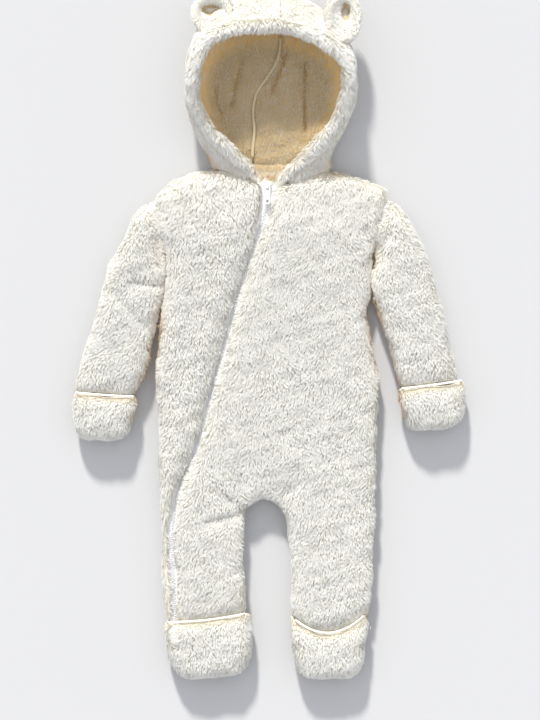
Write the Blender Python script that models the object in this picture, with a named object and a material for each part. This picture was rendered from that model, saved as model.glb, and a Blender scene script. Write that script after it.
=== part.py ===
"""Hooded baby onesie of double-faced teddy fleece, laid flat on its back.

+X is the wearer's left, +Y runs from the feet to the hood, +Z is up, and the garment
rests on z = 0. Each piece that a maker cuts and sews on is one object. Tables and
working values are in millimetres, and meshes are made in metres.
"""

import math
from collections import namedtuple

import bmesh
import bpy
import numpy as np
from mathutils import Matrix, Vector

MM = 0.001

# Cloth. A wall is the knit with its pile on both faces, so it reaches to the fur's tips.
WALL = 15.0
SLACK = 1.4  # between front and back, where the zip tape passes
SEAM = 0.3  # between pieces that are sewn together
MID = WALL + SLACK / 2  # height of the side seams
EDGE_ROUND = 17.0  # how far in from a side seam the pile reaches its full height
EDGE_SHARE = 0.1  # share of that height at the seam itself
JOIN_ROUND = 9.0  # the same at a seam inside the garment, such as an armhole
JOIN_SHARE = 0.66
CUT_INSET = 3.0  # a panel's hidden face is flat from here inwards, or from nearer at tight corners
CUT_INSET_SHARE = 0.45  # of the points' spacing, at tight corners
LEAST_PILE = 1.6  # the thinnest that a fold leaves the front
SHARP_ANGLE = math.radians(50)

# Zip: two tapes with the teeth's groove between the front panels, from neck to ankle.
TAPE_WIDTH = 11.0
TAPE_THICK = 0.8
TAPE_GAP = 0.3
GROOVE_HALF = 2.5
GROOVE_HALF_SLIDER = 6.4
SLIDER_STRETCH = 36.0  # length of the wider groove at the neck
SLIDER_EASE = 14.4  # over which that groove narrows
ZIP_ROUND = 15.0  # the pile is pressed down this far from the groove
ZIP_SHARE = 0.6

# Slider and pull tab.
SLIDER_X = -2.4
SLIDER_TOP_Y = 203.0
SLIDER_LONG = 12.5
SLIDER_WIDE = 9.6
SLIDER_FOOT_WIDE = 6.3
SLIDER_THICK = 6.0
SLIDER_BEVEL = 1.1
BRIDGE_WIDE = 3.0
BRIDGE_LONG = 8.2
BRIDGE_BAR = 1.3
BRIDGE_BEVEL = 0.9
BRIDGE_SINK = 0.6  # how deep the bridge goes into the slider's body
PIN_CLEAR = 1.35  # from the tab's pin to the bridge round it
PIN_RADIUS = 0.8
PLATE_TOP_Z = WALL + TAPE_GAP + TAPE_THICK + SEAM + SLIDER_THICK
PIN_Y = SLIDER_TOP_Y - SLIDER_LONG / 2
PIN_Z = PLATE_TOP_Z + PIN_CLEAR
TAB_WIDE = 7.6
TAB_LONG = 25.0
TAB_THICK = 1.6
TAB_ARM = 1.5
TAB_WINDOW = 6.2  # from the pin to the far end of the window round the bridge
TAB_SLOT_WIDE = 3.6
TAB_SLOT_LONG = 4.5

# Mitts and feet: pouches whose hem lies over the end of a sleeve or leg.
POUCH_MID = 17.0
POUCH_RISE = 19.0
HEM_ROUND = 15.0
HEM_SHARE = 0.78
POUCH_INSET = 12.5  # from the pouch's outer edge to its hollow
MOUTH_HALF = 8.2  # half the height of the hollow at the hem
TUCK_HALF = 7.3  # half the height of the sleeve's end at the hem
TUCK_END_HALF = 4.8
TUCK_LENGTH = 16.0
TUCK_SLOPE = 9.0
HOLLOW_STOP = 0.7  # how many of a pouch's rows past its last inner one the hollow ends short of
ROUND_SHARE = 0.2  # share of a hollow's width over which its sides round away

# Hood: two halves sewn along the centre back, a furry band round the face, two ears.
HOOD_WALL = 11.0
FLOOR_SHARE = 0.45  # how far from the seam to the side the hood lies flat
FLOOR_COLUMNS = 3
RIM_HALF_WIDE = 11.0
RIM_HALF_HIGH = 10.0
RIM_STEP = 15.0
RIM_TIP_SHARE = 0.68  # the band narrows towards the zip
RIM_TIP_ROWS = 4
RIM_END_SHARE = 0.35  # the closed end beyond its last row, in rows and in thickness
EAR_TILT = math.radians(16)

CHEST_Y = 60.0  # armpits
CROTCH_Y = -213.0
CROTCH_X = -5.5
ARCH_WIDE = 22.5
ARCH_HIGH = 25.0
LEG_END_Y = -397.0

Point = namedtuple("Point", "x y")
SHOULDER_RIGHT = (
    Point(-152, 187), Point(-142, 193), Point(-129, 205), Point(-116, 216), Point(-103, 220), Point(-73, 219),
)
NECK_FRONT_RIGHT = (Point(-73, 219), Point(-51, 214), Point(-30, 206), Point(-2, 199))
NECK_FRONT_LEFT = (Point(-2, 199), Point(18, 198), Point(33, 202), Point(59, 209), Point(80, 216))
NECK_BACK = (Point(-73, 219), Point(-45, 223), Point(45, 223), Point(80, 216))
SHOULDER_LEFT = (Point(80, 216), Point(98, 216), Point(118, 210), Point(141, 203), Point(156, 197))
SIDE_RIGHT = (
    Point(-152, 187), Point(-147, 164), Point(-142, 145), Point(-137, 119), Point(-136, 93), Point(-138, 60),
    Point(-145, 21), Point(-150, -18), Point(-151, -63), Point(-147, -109), Point(-146, -161),
    Point(-145, -213), Point(-143, -271), Point(-141, -330), Point(-139, -371), Point(-137, -397),
)
SIDE_LEFT = (
    Point(156, 197), Point(153, 177), Point(145, 158), Point(139, 132), Point(135, 99), Point(134, 60),
    Point(131, 21), Point(139, -11), Point(147, -63), Point(144, -109), Point(143, -161),
    Point(143, -213), Point(140, -271), Point(136, -343), Point(131, -397),
)
INNER_RIGHT = (Point(-28, -238), Point(-30, -278), Point(-28, -323), Point(-25, -362), Point(-20, -397))
INNER_LEFT = (Point(17, -238), Point(25, -275), Point(26, -300), Point(25, -343), Point(27, -397))
ZIP_LINE = (
    Point(-2, 200), Point(-4, 171), Point(-9, 150), Point(-19, 120), Point(-32, 84), Point(-43, 47),
    Point(-54, 8), Point(-63, -28), Point(-72, -57), Point(-80, -89), Point(-90, -128), Point(-103, -163),
    Point(-115, -190), Point(-123, -220), Point(-127, -252), Point(-127, -291), Point(-124, -330),
    Point(-122, -397),
)
ZIP_END_Y = -376.0  # just inside the right foot's hem
ARMHOLE_END_Y = 128.0  # below it the sleeve only lies beside the body, and the side rounds away

# Where a panel's rows of points lie, closer together at the edges and the crotch.
TOP_SHARES = np.array([0, 0.02, 0.06, 0.13, 0.23, 0.36, 0.5, 0.65, 0.82, 1])
TORSO_YS = np.array([60, 36, 8, -22, -55, -88, -120, -150, -174, -191, -201, -207.5, -211, CROTCH_Y])
LEG_YS = np.array(
    [CROTCH_Y, -214.5, -217.5, -222, -229, -240, -257, -282, -312, -335, -350, -360, -370, -381, LEG_END_Y]
)
LEGS_BEGIN = 4  # from this row of the torso on, its columns spread towards the legs' edges

# Main folds, as troughs (ridges where depth is under 0) along a line.
Fold = namedtuple("Fold", "x0 y0 x1 y1 depth width")
FOLDS = (
    Fold(-185, 71, -138, 74, 5.0, 11),
    Fold(-208, 64, -184, 36, 4.0, 10),
    Fold(-184, 36, -158, 8, 4.0, 10),
    Fold(-142, 132, -150, 100, 4.0, 9),
    Fold(156, 136, 137, 97, 5.5, 10),
    Fold(-84, -240, -28, -228, 3.0, 9),
    Fold(-61, -200, -29, -219, 4.0, 10),
    Fold(18, -209, 28, -198, 3.0, 9),
    Fold(-66, -256, -30, -240, -2.0, 12),
    Fold(-32, -188, 27, -196, 2.0, 22),
)

Across = namedtuple("Across", "outer_x outer_y inner_x inner_y")
SLEEVE_RIGHT = (
    Across(-135, 189, -122, 72),
    Across(-164, 177, -134, 50),
    Across(-181, 157, -138, 40),
    Across(-193, 128, -142, 28),
    Across(-210, 97, -146, 14),
    Across(-221, 60, -150, -5),
    Across(-230, 28, -152, -24),
    Across(-242, -11, -156, -44),
    Across(-251, -42, -163, -58),
    Across(-256, -62, -168, -70),
    Across(-257, -71, -169, -77),
    Across(-250, -84, -174, -90),
)
SLEEVE_LEFT = (
    Across(132, 190, 112, 74),
    Across(162, 181, 131, 56),
    Across(178, 167, 134, 45),
    Across(192, 142, 137, 32),
    Across(205, 115, 143, 19),
    Across(217, 80, 149, 2),
    Across(226, 47, 154, -18),
    Across(234, 12, 160, -36),
    Across(241, -20, 163, -49),
    Across(248, -46, 165, -60),
    Across(251, -56, 167, -68),
    Across(246, -70, 174, -82),
)
SLEEVE_HEAD = (0.5, 0.85)  # height of the pile over a sleeve's first rows, at the armhole

MITT_RIGHT = (
    Across(-258, -71, -168, -77),
    Across(-259, -85, -170, -89),
    Across(-259, -106, -175, -107),
    Across(-256, -122, -178, -122),
    Across(-251, -131, -184, -132),
    Across(-241, -137, -197, -139),
)
MITT_LEFT = (
    Across(257, -55, 165, -67),
    Across(259, -72, 166, -83),
    Across(259, -90, 169, -98),
    Across(256, -105, 173, -112),
    Across(249, -115, 180, -121),
    Across(235, -122, 193, -126),
)
FOOT_RIGHT = (
    Across(-142, -370, -23, -357),
    Across(-140, -386, -21, -377),
    Across(-137, -402, -19, -396),
    Across(-133, -417, -20, -411),
    Across(-129, -429, -23, -424),
    Across(-123, -440, -31, -437),
    Across(-112, -449, -46, -447),
)
FOOT_LEFT = (
    Across(130, -355, 27, -361),
    Across(130, -382, 27, -385),
    Across(129, -401, 28, -403),
    Across(127, -417, 29, -419),
    Across(124, -430, 32, -432),
    Across(118, -441, 37, -442),
    Across(105, -449, 47, -449),
)
# How far the middle of the hem sags towards the fingers or toes.
MITT_SAG = 1.0
FOOT_RIGHT_SAG = 4.0
FOOT_LEFT_SAG = 26.0
SAG_FADES = 0.55  # share of the pouch's length over which the sag fades

HoodRow = namedtuple("HoodRow", "seam_x seam_y side_x side_y side_z rim_x rim_y rim_z")
HOOD_RIGHT = (
    HoodRow(-20, 212, -74, 204, 15.7, -15, 197, 22),
    HoodRow(-21, 228, -77, 221, 16.0, -16, 211, 25),
    HoodRow(-22, 243, -84, 240, 18.0, -48, 239, 36),
    HoodRow(-19, 268, -98, 268, 22.0, -85, 278, 50),
    HoodRow(-22, 297, -106, 301, 27.0, -95, 303, 60),
    HoodRow(-17, 320, -108, 333, 30.0, -98, 330, 68),
    HoodRow(-2, 340, -103, 371, 30.0, -92, 359, 70),
    HoodRow(9, 357, -82, 410, 29.0, -68, 387, 68),
    HoodRow(14, 372, -37, 442, 28.0, -30, 400, 64),
    HoodRow(15, 384, 15, 449, 28.0, 14, 401, 62),
)
HOOD_LEFT = (
    HoodRow(-20, 212, 78, 201, 15.7, 13, 192, 22),
    HoodRow(-21, 228, 81, 219, 16.0, 14, 206, 25),
    HoodRow(-22, 243, 84, 242, 18.0, 56, 243, 36),
    HoodRow(-19, 268, 94, 266, 22.0, 87, 276, 50),
    HoodRow(-22, 297, 109, 301, 27.0, 98, 304, 60),
    HoodRow(-17, 320, 111, 327, 30.0, 101, 327, 68),
    HoodRow(-2, 340, 109, 362, 30.0, 100, 350, 70),
    HoodRow(9, 357, 82, 409, 29.0, 77, 375, 68),
    HoodRow(14, 372, 50, 441, 28.0, 46, 391, 64),
    HoodRow(15, 384, 15, 449, 28.0, 14, 401, 62),
)

Ear = namedtuple("Ear", "name x y z half_wide half_long faces")
EARS = (
    Ear("ear_right", -73, 418, 50, 29, 31, math.radians(122)),
    Ear("ear_left", 95, 412, 50, 26, 37, math.radians(62)),
)
EarRing = namedtuple("EarRing", "share height")
EAR_PROFILE = (
    EarRing(0.30, 0.0), EarRing(0.52, 2.5), EarRing(0.72, 7.5), EarRing(0.86, 8.0), EarRing(0.97, 4.0),
    EarRing(1.0, -1.5), EarRing(0.93, -6.5), EarRing(0.75, -9.5), EarRing(0.4, -11.0),
)

Finish = namedtuple("Finish", "name red green blue roughness")
FLEECE = Finish("teddy fleece", 0.86, 0.84, 0.74, 0.95)
RIB_TAPE = Finish("zip tape", 0.90, 0.90, 0.88, 0.80)
ENAMEL = Finish("white enamel", 0.93, 0.93, 0.93, 0.35)


def smooth(at, xs, ys):
    """Values at `at` on a smooth curve through (xs, ys) that never overshoots them."""
    xs, ys = np.asarray(xs, float), np.asarray(ys, float)
    if xs[0] > xs[-1]:
        xs, ys = xs[::-1], ys[::-1]
    step = np.diff(xs)
    slope = np.diff(ys) / step
    tangent = np.concatenate([slope[:1], np.zeros(len(slope) - 1), slope[-1:]])
    even = slope[1:] * slope[:-1] > 0
    tangent[1:-1][even] = 2 * (slope[1:] * slope[:-1])[even] / (slope[1:] + slope[:-1])[even]
    at = np.clip(at, xs[0], xs[-1])
    i = np.clip(np.searchsorted(xs, at) - 1, 0, len(step) - 1)
    t, h = (at - xs[i]) / step[i], step[i]
    start = (1 + 2 * t) * (1 - t) ** 2 * ys[i] + t * (1 - t) ** 2 * h * tangent[i]
    return start + t**2 * (3 - 2 * t) * ys[i + 1] + t**2 * (t - 1) * h * tangent[i + 1]


def ramp(t):
    t = np.clip(t, 0, 1)
    return t * t * (3 - 2 * t)


def quarter_round(t):
    """Height of a quarter circle at share t of the way in from its edge."""
    t = np.clip(t, 0, 1)
    return np.sqrt(t * (2 - t))


def clustered(count):
    """Shares from 0 to 1, closer together at both ends."""
    return 0.5 - 0.5 * np.cos(np.pi * np.linspace(0, 1, count + 1))


def x_at(table, y):
    return smooth(y, [p.y for p in table], [p.x for p in table])


def polyline(table, step=4.0):
    """The smooth curve through a table of points, as closely spaced points."""
    known = np.array(table, float)
    along = np.concatenate([[0], np.cumsum(np.linalg.norm(np.diff(known, axis=0), axis=1))])
    at = np.linspace(0, along[-1], int(along[-1] / step) + 2)
    return np.stack([smooth(at, along, known[:, k]) for k in range(known.shape[1])], axis=-1)


def distance(points, line):
    """How far each point lies from a polyline, in plan."""
    start, run = line[:-1], np.diff(line, axis=0)
    off = points[..., None, :] - start
    share = np.clip((off * run).sum(-1) / (run**2).sum(-1), 0, 1)
    return np.linalg.norm(off - share[..., None] * run, axis=-1).min(-1)


def arch():
    """The crotch, from the right leg's inner edge over to the left leg's."""
    turn = np.linspace(np.pi, 0, 17)
    return np.stack(
        [CROTCH_X + ARCH_WIDE * np.cos(turn), CROTCH_Y - ARCH_HIGH + ARCH_HIGH * np.sin(turn)], axis=-1
    )


def inner_x(y, side):
    """The inner edge of the right leg (side -1) or the left one (side 1) at height y."""
    below = x_at(INNER_RIGHT if side < 0 else INNER_LEFT, y)
    rise = np.clip((y - (CROTCH_Y - ARCH_HIGH)) / ARCH_HIGH, 0, 1)
    on_arch = CROTCH_X + side * ARCH_WIDE * np.sqrt(1 - rise**2)
    return np.where(y > CROTCH_Y - ARCH_HIGH, on_arch, below)


FREE_EDGES = (
    polyline(SHOULDER_RIGHT),
    polyline(SHOULDER_LEFT),
    polyline([p for p in SIDE_RIGHT if p.y < ARMHOLE_END_Y]),
    polyline([p for p in SIDE_LEFT if p.y < ARMHOLE_END_Y]),
    arch(),
    polyline(INNER_RIGHT),
    polyline(INNER_LEFT),
)
JOINED_EDGES = (
    polyline([p for p in SIDE_RIGHT if p.y > ARMHOLE_END_Y]),
    polyline([p for p in SIDE_LEFT if p.y > ARMHOLE_END_Y]),
    polyline(NECK_FRONT_RIGHT),
    polyline(NECK_FRONT_LEFT),
)


def fold_drop(points):
    """How far the folds lower the pile at points of the front."""
    drop = np.zeros(points.shape[:-1])
    for fold in FOLDS:
        ends = np.array([(fold.x0, fold.y0), (fold.x1, fold.y1)], float)
        drop += fold.depth * (1 - ramp(distance(points, ends) / fold.width))
    return drop


def tuck_height(before):
    """Half the height of a sleeve or leg, at a distance before the hem it goes under."""
    outside = TUCK_HALF + (MID - TUCK_HALF) * ramp(before / TUCK_SLOPE)
    inside = TUCK_END_HALF + (TUCK_HALF - TUCK_END_HALF) * ramp(before / TUCK_LENGTH + 1)
    return np.where(before > 0, outside, inside)


def before_foot_hem(points):
    """Distance of body points above the hem of the foot below them."""
    before = np.full(points.shape[:-1], 200.0)
    for rows, sag in ((FOOT_RIGHT, FOOT_RIGHT_SAG), (FOOT_LEFT, FOOT_LEFT_SAG)):
        hem = rows[0]
        low, high = sorted((hem.outer_x, hem.inner_x))
        share = (points[..., 0] - hem.inner_x) / (hem.outer_x - hem.inner_x)
        level = hem.inner_y + (hem.outer_y - hem.inner_y) * share
        level = level - sag * np.clip(1 - (2 * share - 1) ** 2, 0, 1)
        here = (points[..., 0] > low - 10) & (points[..., 0] < high + 10)
        before = np.where(here, points[..., 1] - level, before)
    return before


def body_top(points):
    """Height of the front's pile over points in plan."""
    share = EDGE_SHARE + (1 - EDGE_SHARE) * quarter_round(
        np.min([distance(points, edge) for edge in FREE_EDGES], axis=0) / EDGE_ROUND
    )
    joined = np.min([distance(points, edge) for edge in JOINED_EDGES], axis=0)
    share = share * (JOIN_SHARE + (1 - JOIN_SHARE) * quarter_round(joined / JOIN_ROUND))
    from_zip = np.abs(points[..., 0] - x_at(ZIP_LINE, points[..., 1])) - GROOVE_HALF
    share = share * (ZIP_SHARE + (1 - ZIP_SHARE) * ramp(from_zip / ZIP_ROUND))
    height = tuck_height(before_foot_hem(points)) * share
    return MID + np.maximum(height - fold_drop(points) * share, LEAST_PILE)


def body_under(points):
    """Height of the back's pile over the surface it lies on."""
    share = EDGE_SHARE + (1 - EDGE_SHARE) * quarter_round(
        np.min([distance(points, edge) for edge in FREE_EDGES], axis=0) / EDGE_ROUND
    )
    return MID - tuck_height(before_foot_hem(points)) * np.minimum(share, 1)


def groove_half(y):
    """Half the width between the front panels' edges along the zip."""
    top = ZIP_LINE[0].y
    return GROOVE_HALF_SLIDER + (GROOVE_HALF - GROOVE_HALF_SLIDER) * ramp(
        (top - SLIDER_STRETCH - y) / SLIDER_EASE
    )


def material(finish):
    made = bpy.data.materials.get(finish.name)
    if made is None:
        made = bpy.data.materials.new(finish.name)
        made.use_nodes = True
        shader = made.node_tree.nodes["Principled BSDF"]
        shader.inputs["Base Color"].default_value = (finish.red, finish.green, finish.blue, 1)
        shader.inputs["Roughness"].default_value = finish.roughness
        shader.inputs["Metallic"].default_value = 0.0
    return made


def make_object(name, mesh_editor, finish=FLEECE):
    """One named object from a bmesh in millimetres."""
    bmesh.ops.triangulate(mesh_editor, faces=mesh_editor.faces)
    bmesh.ops.scale(mesh_editor, vec=(MM, MM, MM), verts=mesh_editor.verts)
    mesh = bpy.data.meshes.new(name)
    mesh_editor.to_mesh(mesh)
    mesh_editor.free()
    mesh.materials.append(material(finish))
    mesh.shade_smooth()
    mesh.set_sharp_from_angle(angle=SHARP_ANGLE)
    made = bpy.data.objects.new(name, mesh)
    bpy.context.scene.collection.objects.link(made)
    return made


def add_patch(mesh_editor, patch):
    """Quads over a grid of points, rows by columns."""
    rows, columns = patch.shape[:2]
    verts = [[mesh_editor.verts.new(point) for point in row] for row in patch]
    for r in range(rows - 1):
        for c in range(columns - 1):
            mesh_editor.faces.new((verts[r][c], verts[r][c + 1], verts[r + 1][c + 1], verts[r + 1][c]))


def welded(patches):
    """A bmesh of grids whose shared edges are joined."""
    mesh_editor = bmesh.new()
    for patch in patches:
        add_patch(mesh_editor, patch)
    bmesh.ops.remove_doubles(mesh_editor, verts=mesh_editor.verts, dist=0.001)
    bmesh.ops.dissolve_degenerate(mesh_editor, edges=mesh_editor.edges, dist=0.001)
    return mesh_editor


def face_out(mesh_editor):
    bmesh.ops.recalc_face_normals(mesh_editor, faces=mesh_editor.faces)
    if mesh_editor.calc_volume(signed=True) < 0:
        bmesh.ops.reverse_faces(mesh_editor, faces=mesh_editor.faces)


def close_and_face_out(mesh_editor):
    open_edges = [edge for edge in mesh_editor.edges if edge.is_boundary]
    if open_edges:
        bmesh.ops.holes_fill(mesh_editor, edges=open_edges, sides=0)
    face_out(mesh_editor)


def inset_loop(corners):
    """A plan loop of points moved inwards, less where they lie close together."""
    after, before = np.roll(corners, -1, axis=0), np.roll(corners, 1, axis=0)
    along = after - before
    area = (corners[:, 0] * after[:, 1] - after[:, 0] * corners[:, 1]).sum()
    normal = np.stack([-along[:, 1], along[:, 0]], axis=-1) * np.sign(area)
    normal /= np.linalg.norm(normal, axis=1, keepdims=True)
    spacing = np.minimum(*(np.linalg.norm(other - corners, axis=1) for other in (after, before)))
    return corners + normal * np.minimum(CUT_INSET, CUT_INSET_SHARE * spacing)[:, None]


def boundary_loop(mesh_editor):
    """The vertices round the one open edge of a patchwork, in order."""
    edges = {edge for edge in mesh_editor.edges if edge.is_boundary}
    edge = next(iter(edges))
    loop, here = [edge.verts[0]], edge.verts[1]
    while here is not loop[0]:
        loop.append(here)
        edge = next(e for e in here.link_edges if e in edges and e is not edge)
        here = edge.other_vert(here)
    return loop


def panel(name, patches, edge_z, flat_z):
    """A cut panel: its pile from the patches, and a hidden face that is flat but for its edge."""
    mesh_editor = welded(patches)
    loop = boundary_loop(mesh_editor)
    plan = np.array([vert.co[:2] for vert in loop])
    inset = inset_loop(plan)
    by_zip = np.abs(plan[:, 0] - x_at(ZIP_LINE, plan[:, 1])) < GROOVE_HALF_SLIDER + 1
    edge_zs = np.where(by_zip, flat_z, edge_z)
    edge_ring = [mesh_editor.verts.new((x, y, z)) for (x, y), z in zip(plan, edge_zs)]
    flat_ring = [mesh_editor.verts.new((x, y, flat_z)) for x, y in inset]
    for i in range(len(loop)):
        j = (i + 1) % len(loop)
        mesh_editor.faces.new((loop[i], loop[j], edge_ring[j], edge_ring[i]))
        mesh_editor.faces.new((edge_ring[i], edge_ring[j], flat_ring[j], flat_ring[i]))
    mesh_editor.faces.new(flat_ring)
    face_out(mesh_editor)
    return make_object(name, mesh_editor)


def torso_grid(left_x, right_x, top_y, left_count, right_count):
    """Points from the shoulders to the crotch, in plan. left_x and right_x give the edges at a height."""
    count = left_count + right_count
    across = clustered(count)
    left_top, right_top = left_x(top_y(-1)), right_x(top_y(1))
    rows = []
    for share in TOP_SHARES:
        left_y = top_y(-1) + (CHEST_Y - top_y(-1)) * share
        right_y = top_y(1) + (CHEST_Y - top_y(1)) * share
        x = left_x(left_y) + (right_x(right_y) - left_x(left_y)) * across
        crest = top_y(0, left_top + (right_top - left_top) * across)
        rows.append(np.stack([x, crest + (CHEST_Y - crest) * share], axis=-1))
    for y in TORSO_YS[1:]:
        left, right = left_x(y), right_x(y)
        even = left + (right - left) * across
        if right_count:
            legs = np.concatenate(
                [
                    left + (CROTCH_X - left) * clustered(left_count),
                    CROTCH_X + (right - CROTCH_X) * clustered(right_count)[1:],
                ]
            )
            nearness = ramp((TORSO_YS[LEGS_BEGIN] - y) / (TORSO_YS[LEGS_BEGIN] - CROTCH_Y))
            even = even + (legs - even) * nearness
        rows.append(np.stack([even, np.full_like(even, y)], axis=-1))
    return np.array(rows)


def leg_grid(left_x, right_x, count):
    rows = []
    for y in LEG_YS:
        x = left_x(y) + (right_x(y) - left_x(y)) * clustered(count)
        rows.append(np.stack([x, np.full_like(x, y)], axis=-1))
    return np.array(rows)


def lifted(grid, height):
    return np.concatenate([grid, height(grid)[..., None]], axis=-1)


def side_right_x(y):
    return x_at(SIDE_RIGHT, y)


def side_left_x(y):
    return x_at(SIDE_LEFT, y)


def crest_of(table, left_end, right_end):
    """A function for a torso's top edge: its end heights, or its height at x."""

    def crest(end, x=None):
        if end:
            return left_end if end < 0 else right_end
        return smooth(x, [p.x for p in table], [p.y for p in table])

    return crest


def build_body():
    neck_y = ZIP_LINE[0].y - 1

    def zip_right_edge(y):
        return x_at(ZIP_LINE, y) - groove_half(y)

    def zip_left_edge(y):
        return x_at(ZIP_LINE, y) + groove_half(y)

    crest = crest_of(SHOULDER_RIGHT + NECK_FRONT_RIGHT[1:], SIDE_RIGHT[0].y, neck_y + 1)
    torso = torso_grid(side_right_x, zip_right_edge, crest, 7, 0)
    narrow_leg = leg_grid(side_right_x, zip_right_edge, 7)
    front_right = panel(
        "front_right",
        [lifted(torso, body_top), lifted(narrow_leg, body_top)],
        MID + SEAM / 2,
        WALL + SLACK,
    )

    crest = crest_of(NECK_FRONT_LEFT + SHOULDER_LEFT[1:], neck_y, SIDE_LEFT[0].y)
    torso = torso_grid(zip_left_edge, side_left_x, crest, 7, 9)
    legs = [
        leg_grid(zip_left_edge, lambda y: inner_x(y, -1), 7),
        leg_grid(lambda y: inner_x(y, 1), side_left_x, 9),
    ]
    front_left = panel(
        "front_left",
        [lifted(grid, body_top) for grid in [torso, *legs]],
        MID + SEAM / 2,
        WALL + SLACK,
    )

    table = SHOULDER_RIGHT + NECK_BACK[1:] + SHOULDER_LEFT[1:]
    crest = crest_of(table, SIDE_RIGHT[0].y, SIDE_LEFT[0].y)
    torso = torso_grid(side_right_x, side_left_x, crest, 8, 8)
    legs = [
        leg_grid(side_right_x, lambda y: inner_x(y, -1), 8),
        leg_grid(lambda y: inner_x(y, 1), side_left_x, 8),
    ]
    back = panel(
        "back",
        [lifted(grid, body_under) for grid in [torso, *legs]],
        MID - SEAM / 2,
        WALL,
    )
    return front_right, front_left, back


def filled_body():
    """The body without the slit between front and back, to cut what is sewn to it."""
    table = SHOULDER_RIGHT + NECK_FRONT_RIGHT[1:] + NECK_FRONT_LEFT[1:] + SHOULDER_LEFT[1:]
    crest = crest_of(table, SIDE_RIGHT[0].y, SIDE_LEFT[0].y)
    grids = [
        torso_grid(side_right_x, side_left_x, crest, 8, 8),
        leg_grid(side_right_x, lambda y: inner_x(y, -1), 8),
        leg_grid(lambda y: inner_x(y, 1), side_left_x, 8),
    ]
    mesh_editor = welded([lifted(grid, body_top) for grid in grids])
    loop = boundary_loop(mesh_editor)
    under = body_under(np.array([vert.co[:2] for vert in mesh_editor.verts]))
    twins = {
        vert: mesh_editor.verts.new((vert.co.x, vert.co.y, height))
        for vert, height in zip(list(mesh_editor.verts), under)
    }
    for face in list(mesh_editor.faces):
        mesh_editor.faces.new([twins[vert] for vert in reversed(face.verts)])
    for vert, after in zip(loop, loop[1:] + loop[:1]):
        mesh_editor.faces.new((vert, after, twins[after], twins[vert]))
    face_out(mesh_editor)
    return helper("filled_body", mesh_editor)


def section(row, shares):
    """Plan points across a sleeve, mitt or foot, with their distance from its nearer edge."""
    outer = np.array([row.outer_x, row.outer_y], float)
    inner = np.array([row.inner_x, row.inner_y], float)
    width = np.linalg.norm(inner - outer)
    points = outer + (inner - outer) * shares[:, None]
    return points, np.minimum(shares, 1 - shares) * width, width


def strip(first, second):
    return np.stack([first, second])


def tube_of(outer_top, outer_under, inner_top, inner_under, closed_end):
    """Patches of a flat tube, open at its first row, and at its last one unless that is closed."""
    patches = [outer_top, outer_under, inner_top, inner_under]
    for end in (0,) if closed_end else (0, -1):
        patches += [strip(outer_top[end], inner_top[end]), strip(outer_under[end], inner_under[end])]
    return patches


def inner_shares(width, inset, count):
    edge = inset / width
    return edge + (1 - 2 * edge) * clustered(count)


def slit_share(shares):
    """0 at a hollow's two sides and 1 across its middle."""
    middle = (shares - shares[0]) / (shares[-1] - shares[0])
    return quarter_round(np.minimum(middle, 1 - middle) / ROUND_SHARE)


def sleeve(name, rows):
    """A sleeve sewn into a tube, flat, whose end is thin where it goes into the mitt."""
    count = 8
    outer_top, outer_under, inner_top, inner_under = [], [], [], []
    hem = len(rows) - 2
    middles = [np.array([row.outer_x + row.inner_x, row.outer_y + row.inner_y]) / 2 for row in rows]
    for i, row in enumerate(rows):
        before = np.linalg.norm(middles[i] - middles[hem]) * (1 if i <= hem else -1)
        half = tuck_height(before)
        points, edge, width = section(row, clustered(count))
        share = quarter_round(edge / EDGE_ROUND)
        head = SLEEVE_HEAD[i] if i < len(SLEEVE_HEAD) else 1.0
        top = np.maximum(half * head * share - fold_drop(points) * share, 0)
        outer_top.append(np.column_stack([points, MID + top]))
        outer_under.append(np.column_stack([points, MID - half * share]))
        shares = inner_shares(width, WALL, count)
        points = section(row, shares)[0]
        gap = SLACK / 2 * slit_share(shares)
        inner_top.append(np.column_stack([points, MID + gap]))
        inner_under.append(np.column_stack([points, MID - gap]))
    patches = tube_of(*map(np.array, (outer_top, outer_under, inner_top, inner_under)), closed_end=False)
    mesh_editor = welded(patches)
    close_and_face_out(mesh_editor)
    return make_object(name, mesh_editor)


def sagged(points, shares, along, sag):
    """Section points moved towards the closed end, most in the middle and at the hem."""
    fade = 1 - ramp(along / SAG_FADES)
    points = points.copy()
    points[:, 1] -= sag * fade * np.clip(1 - (2 * shares - 1) ** 2, 0, 1)
    return points


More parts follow.
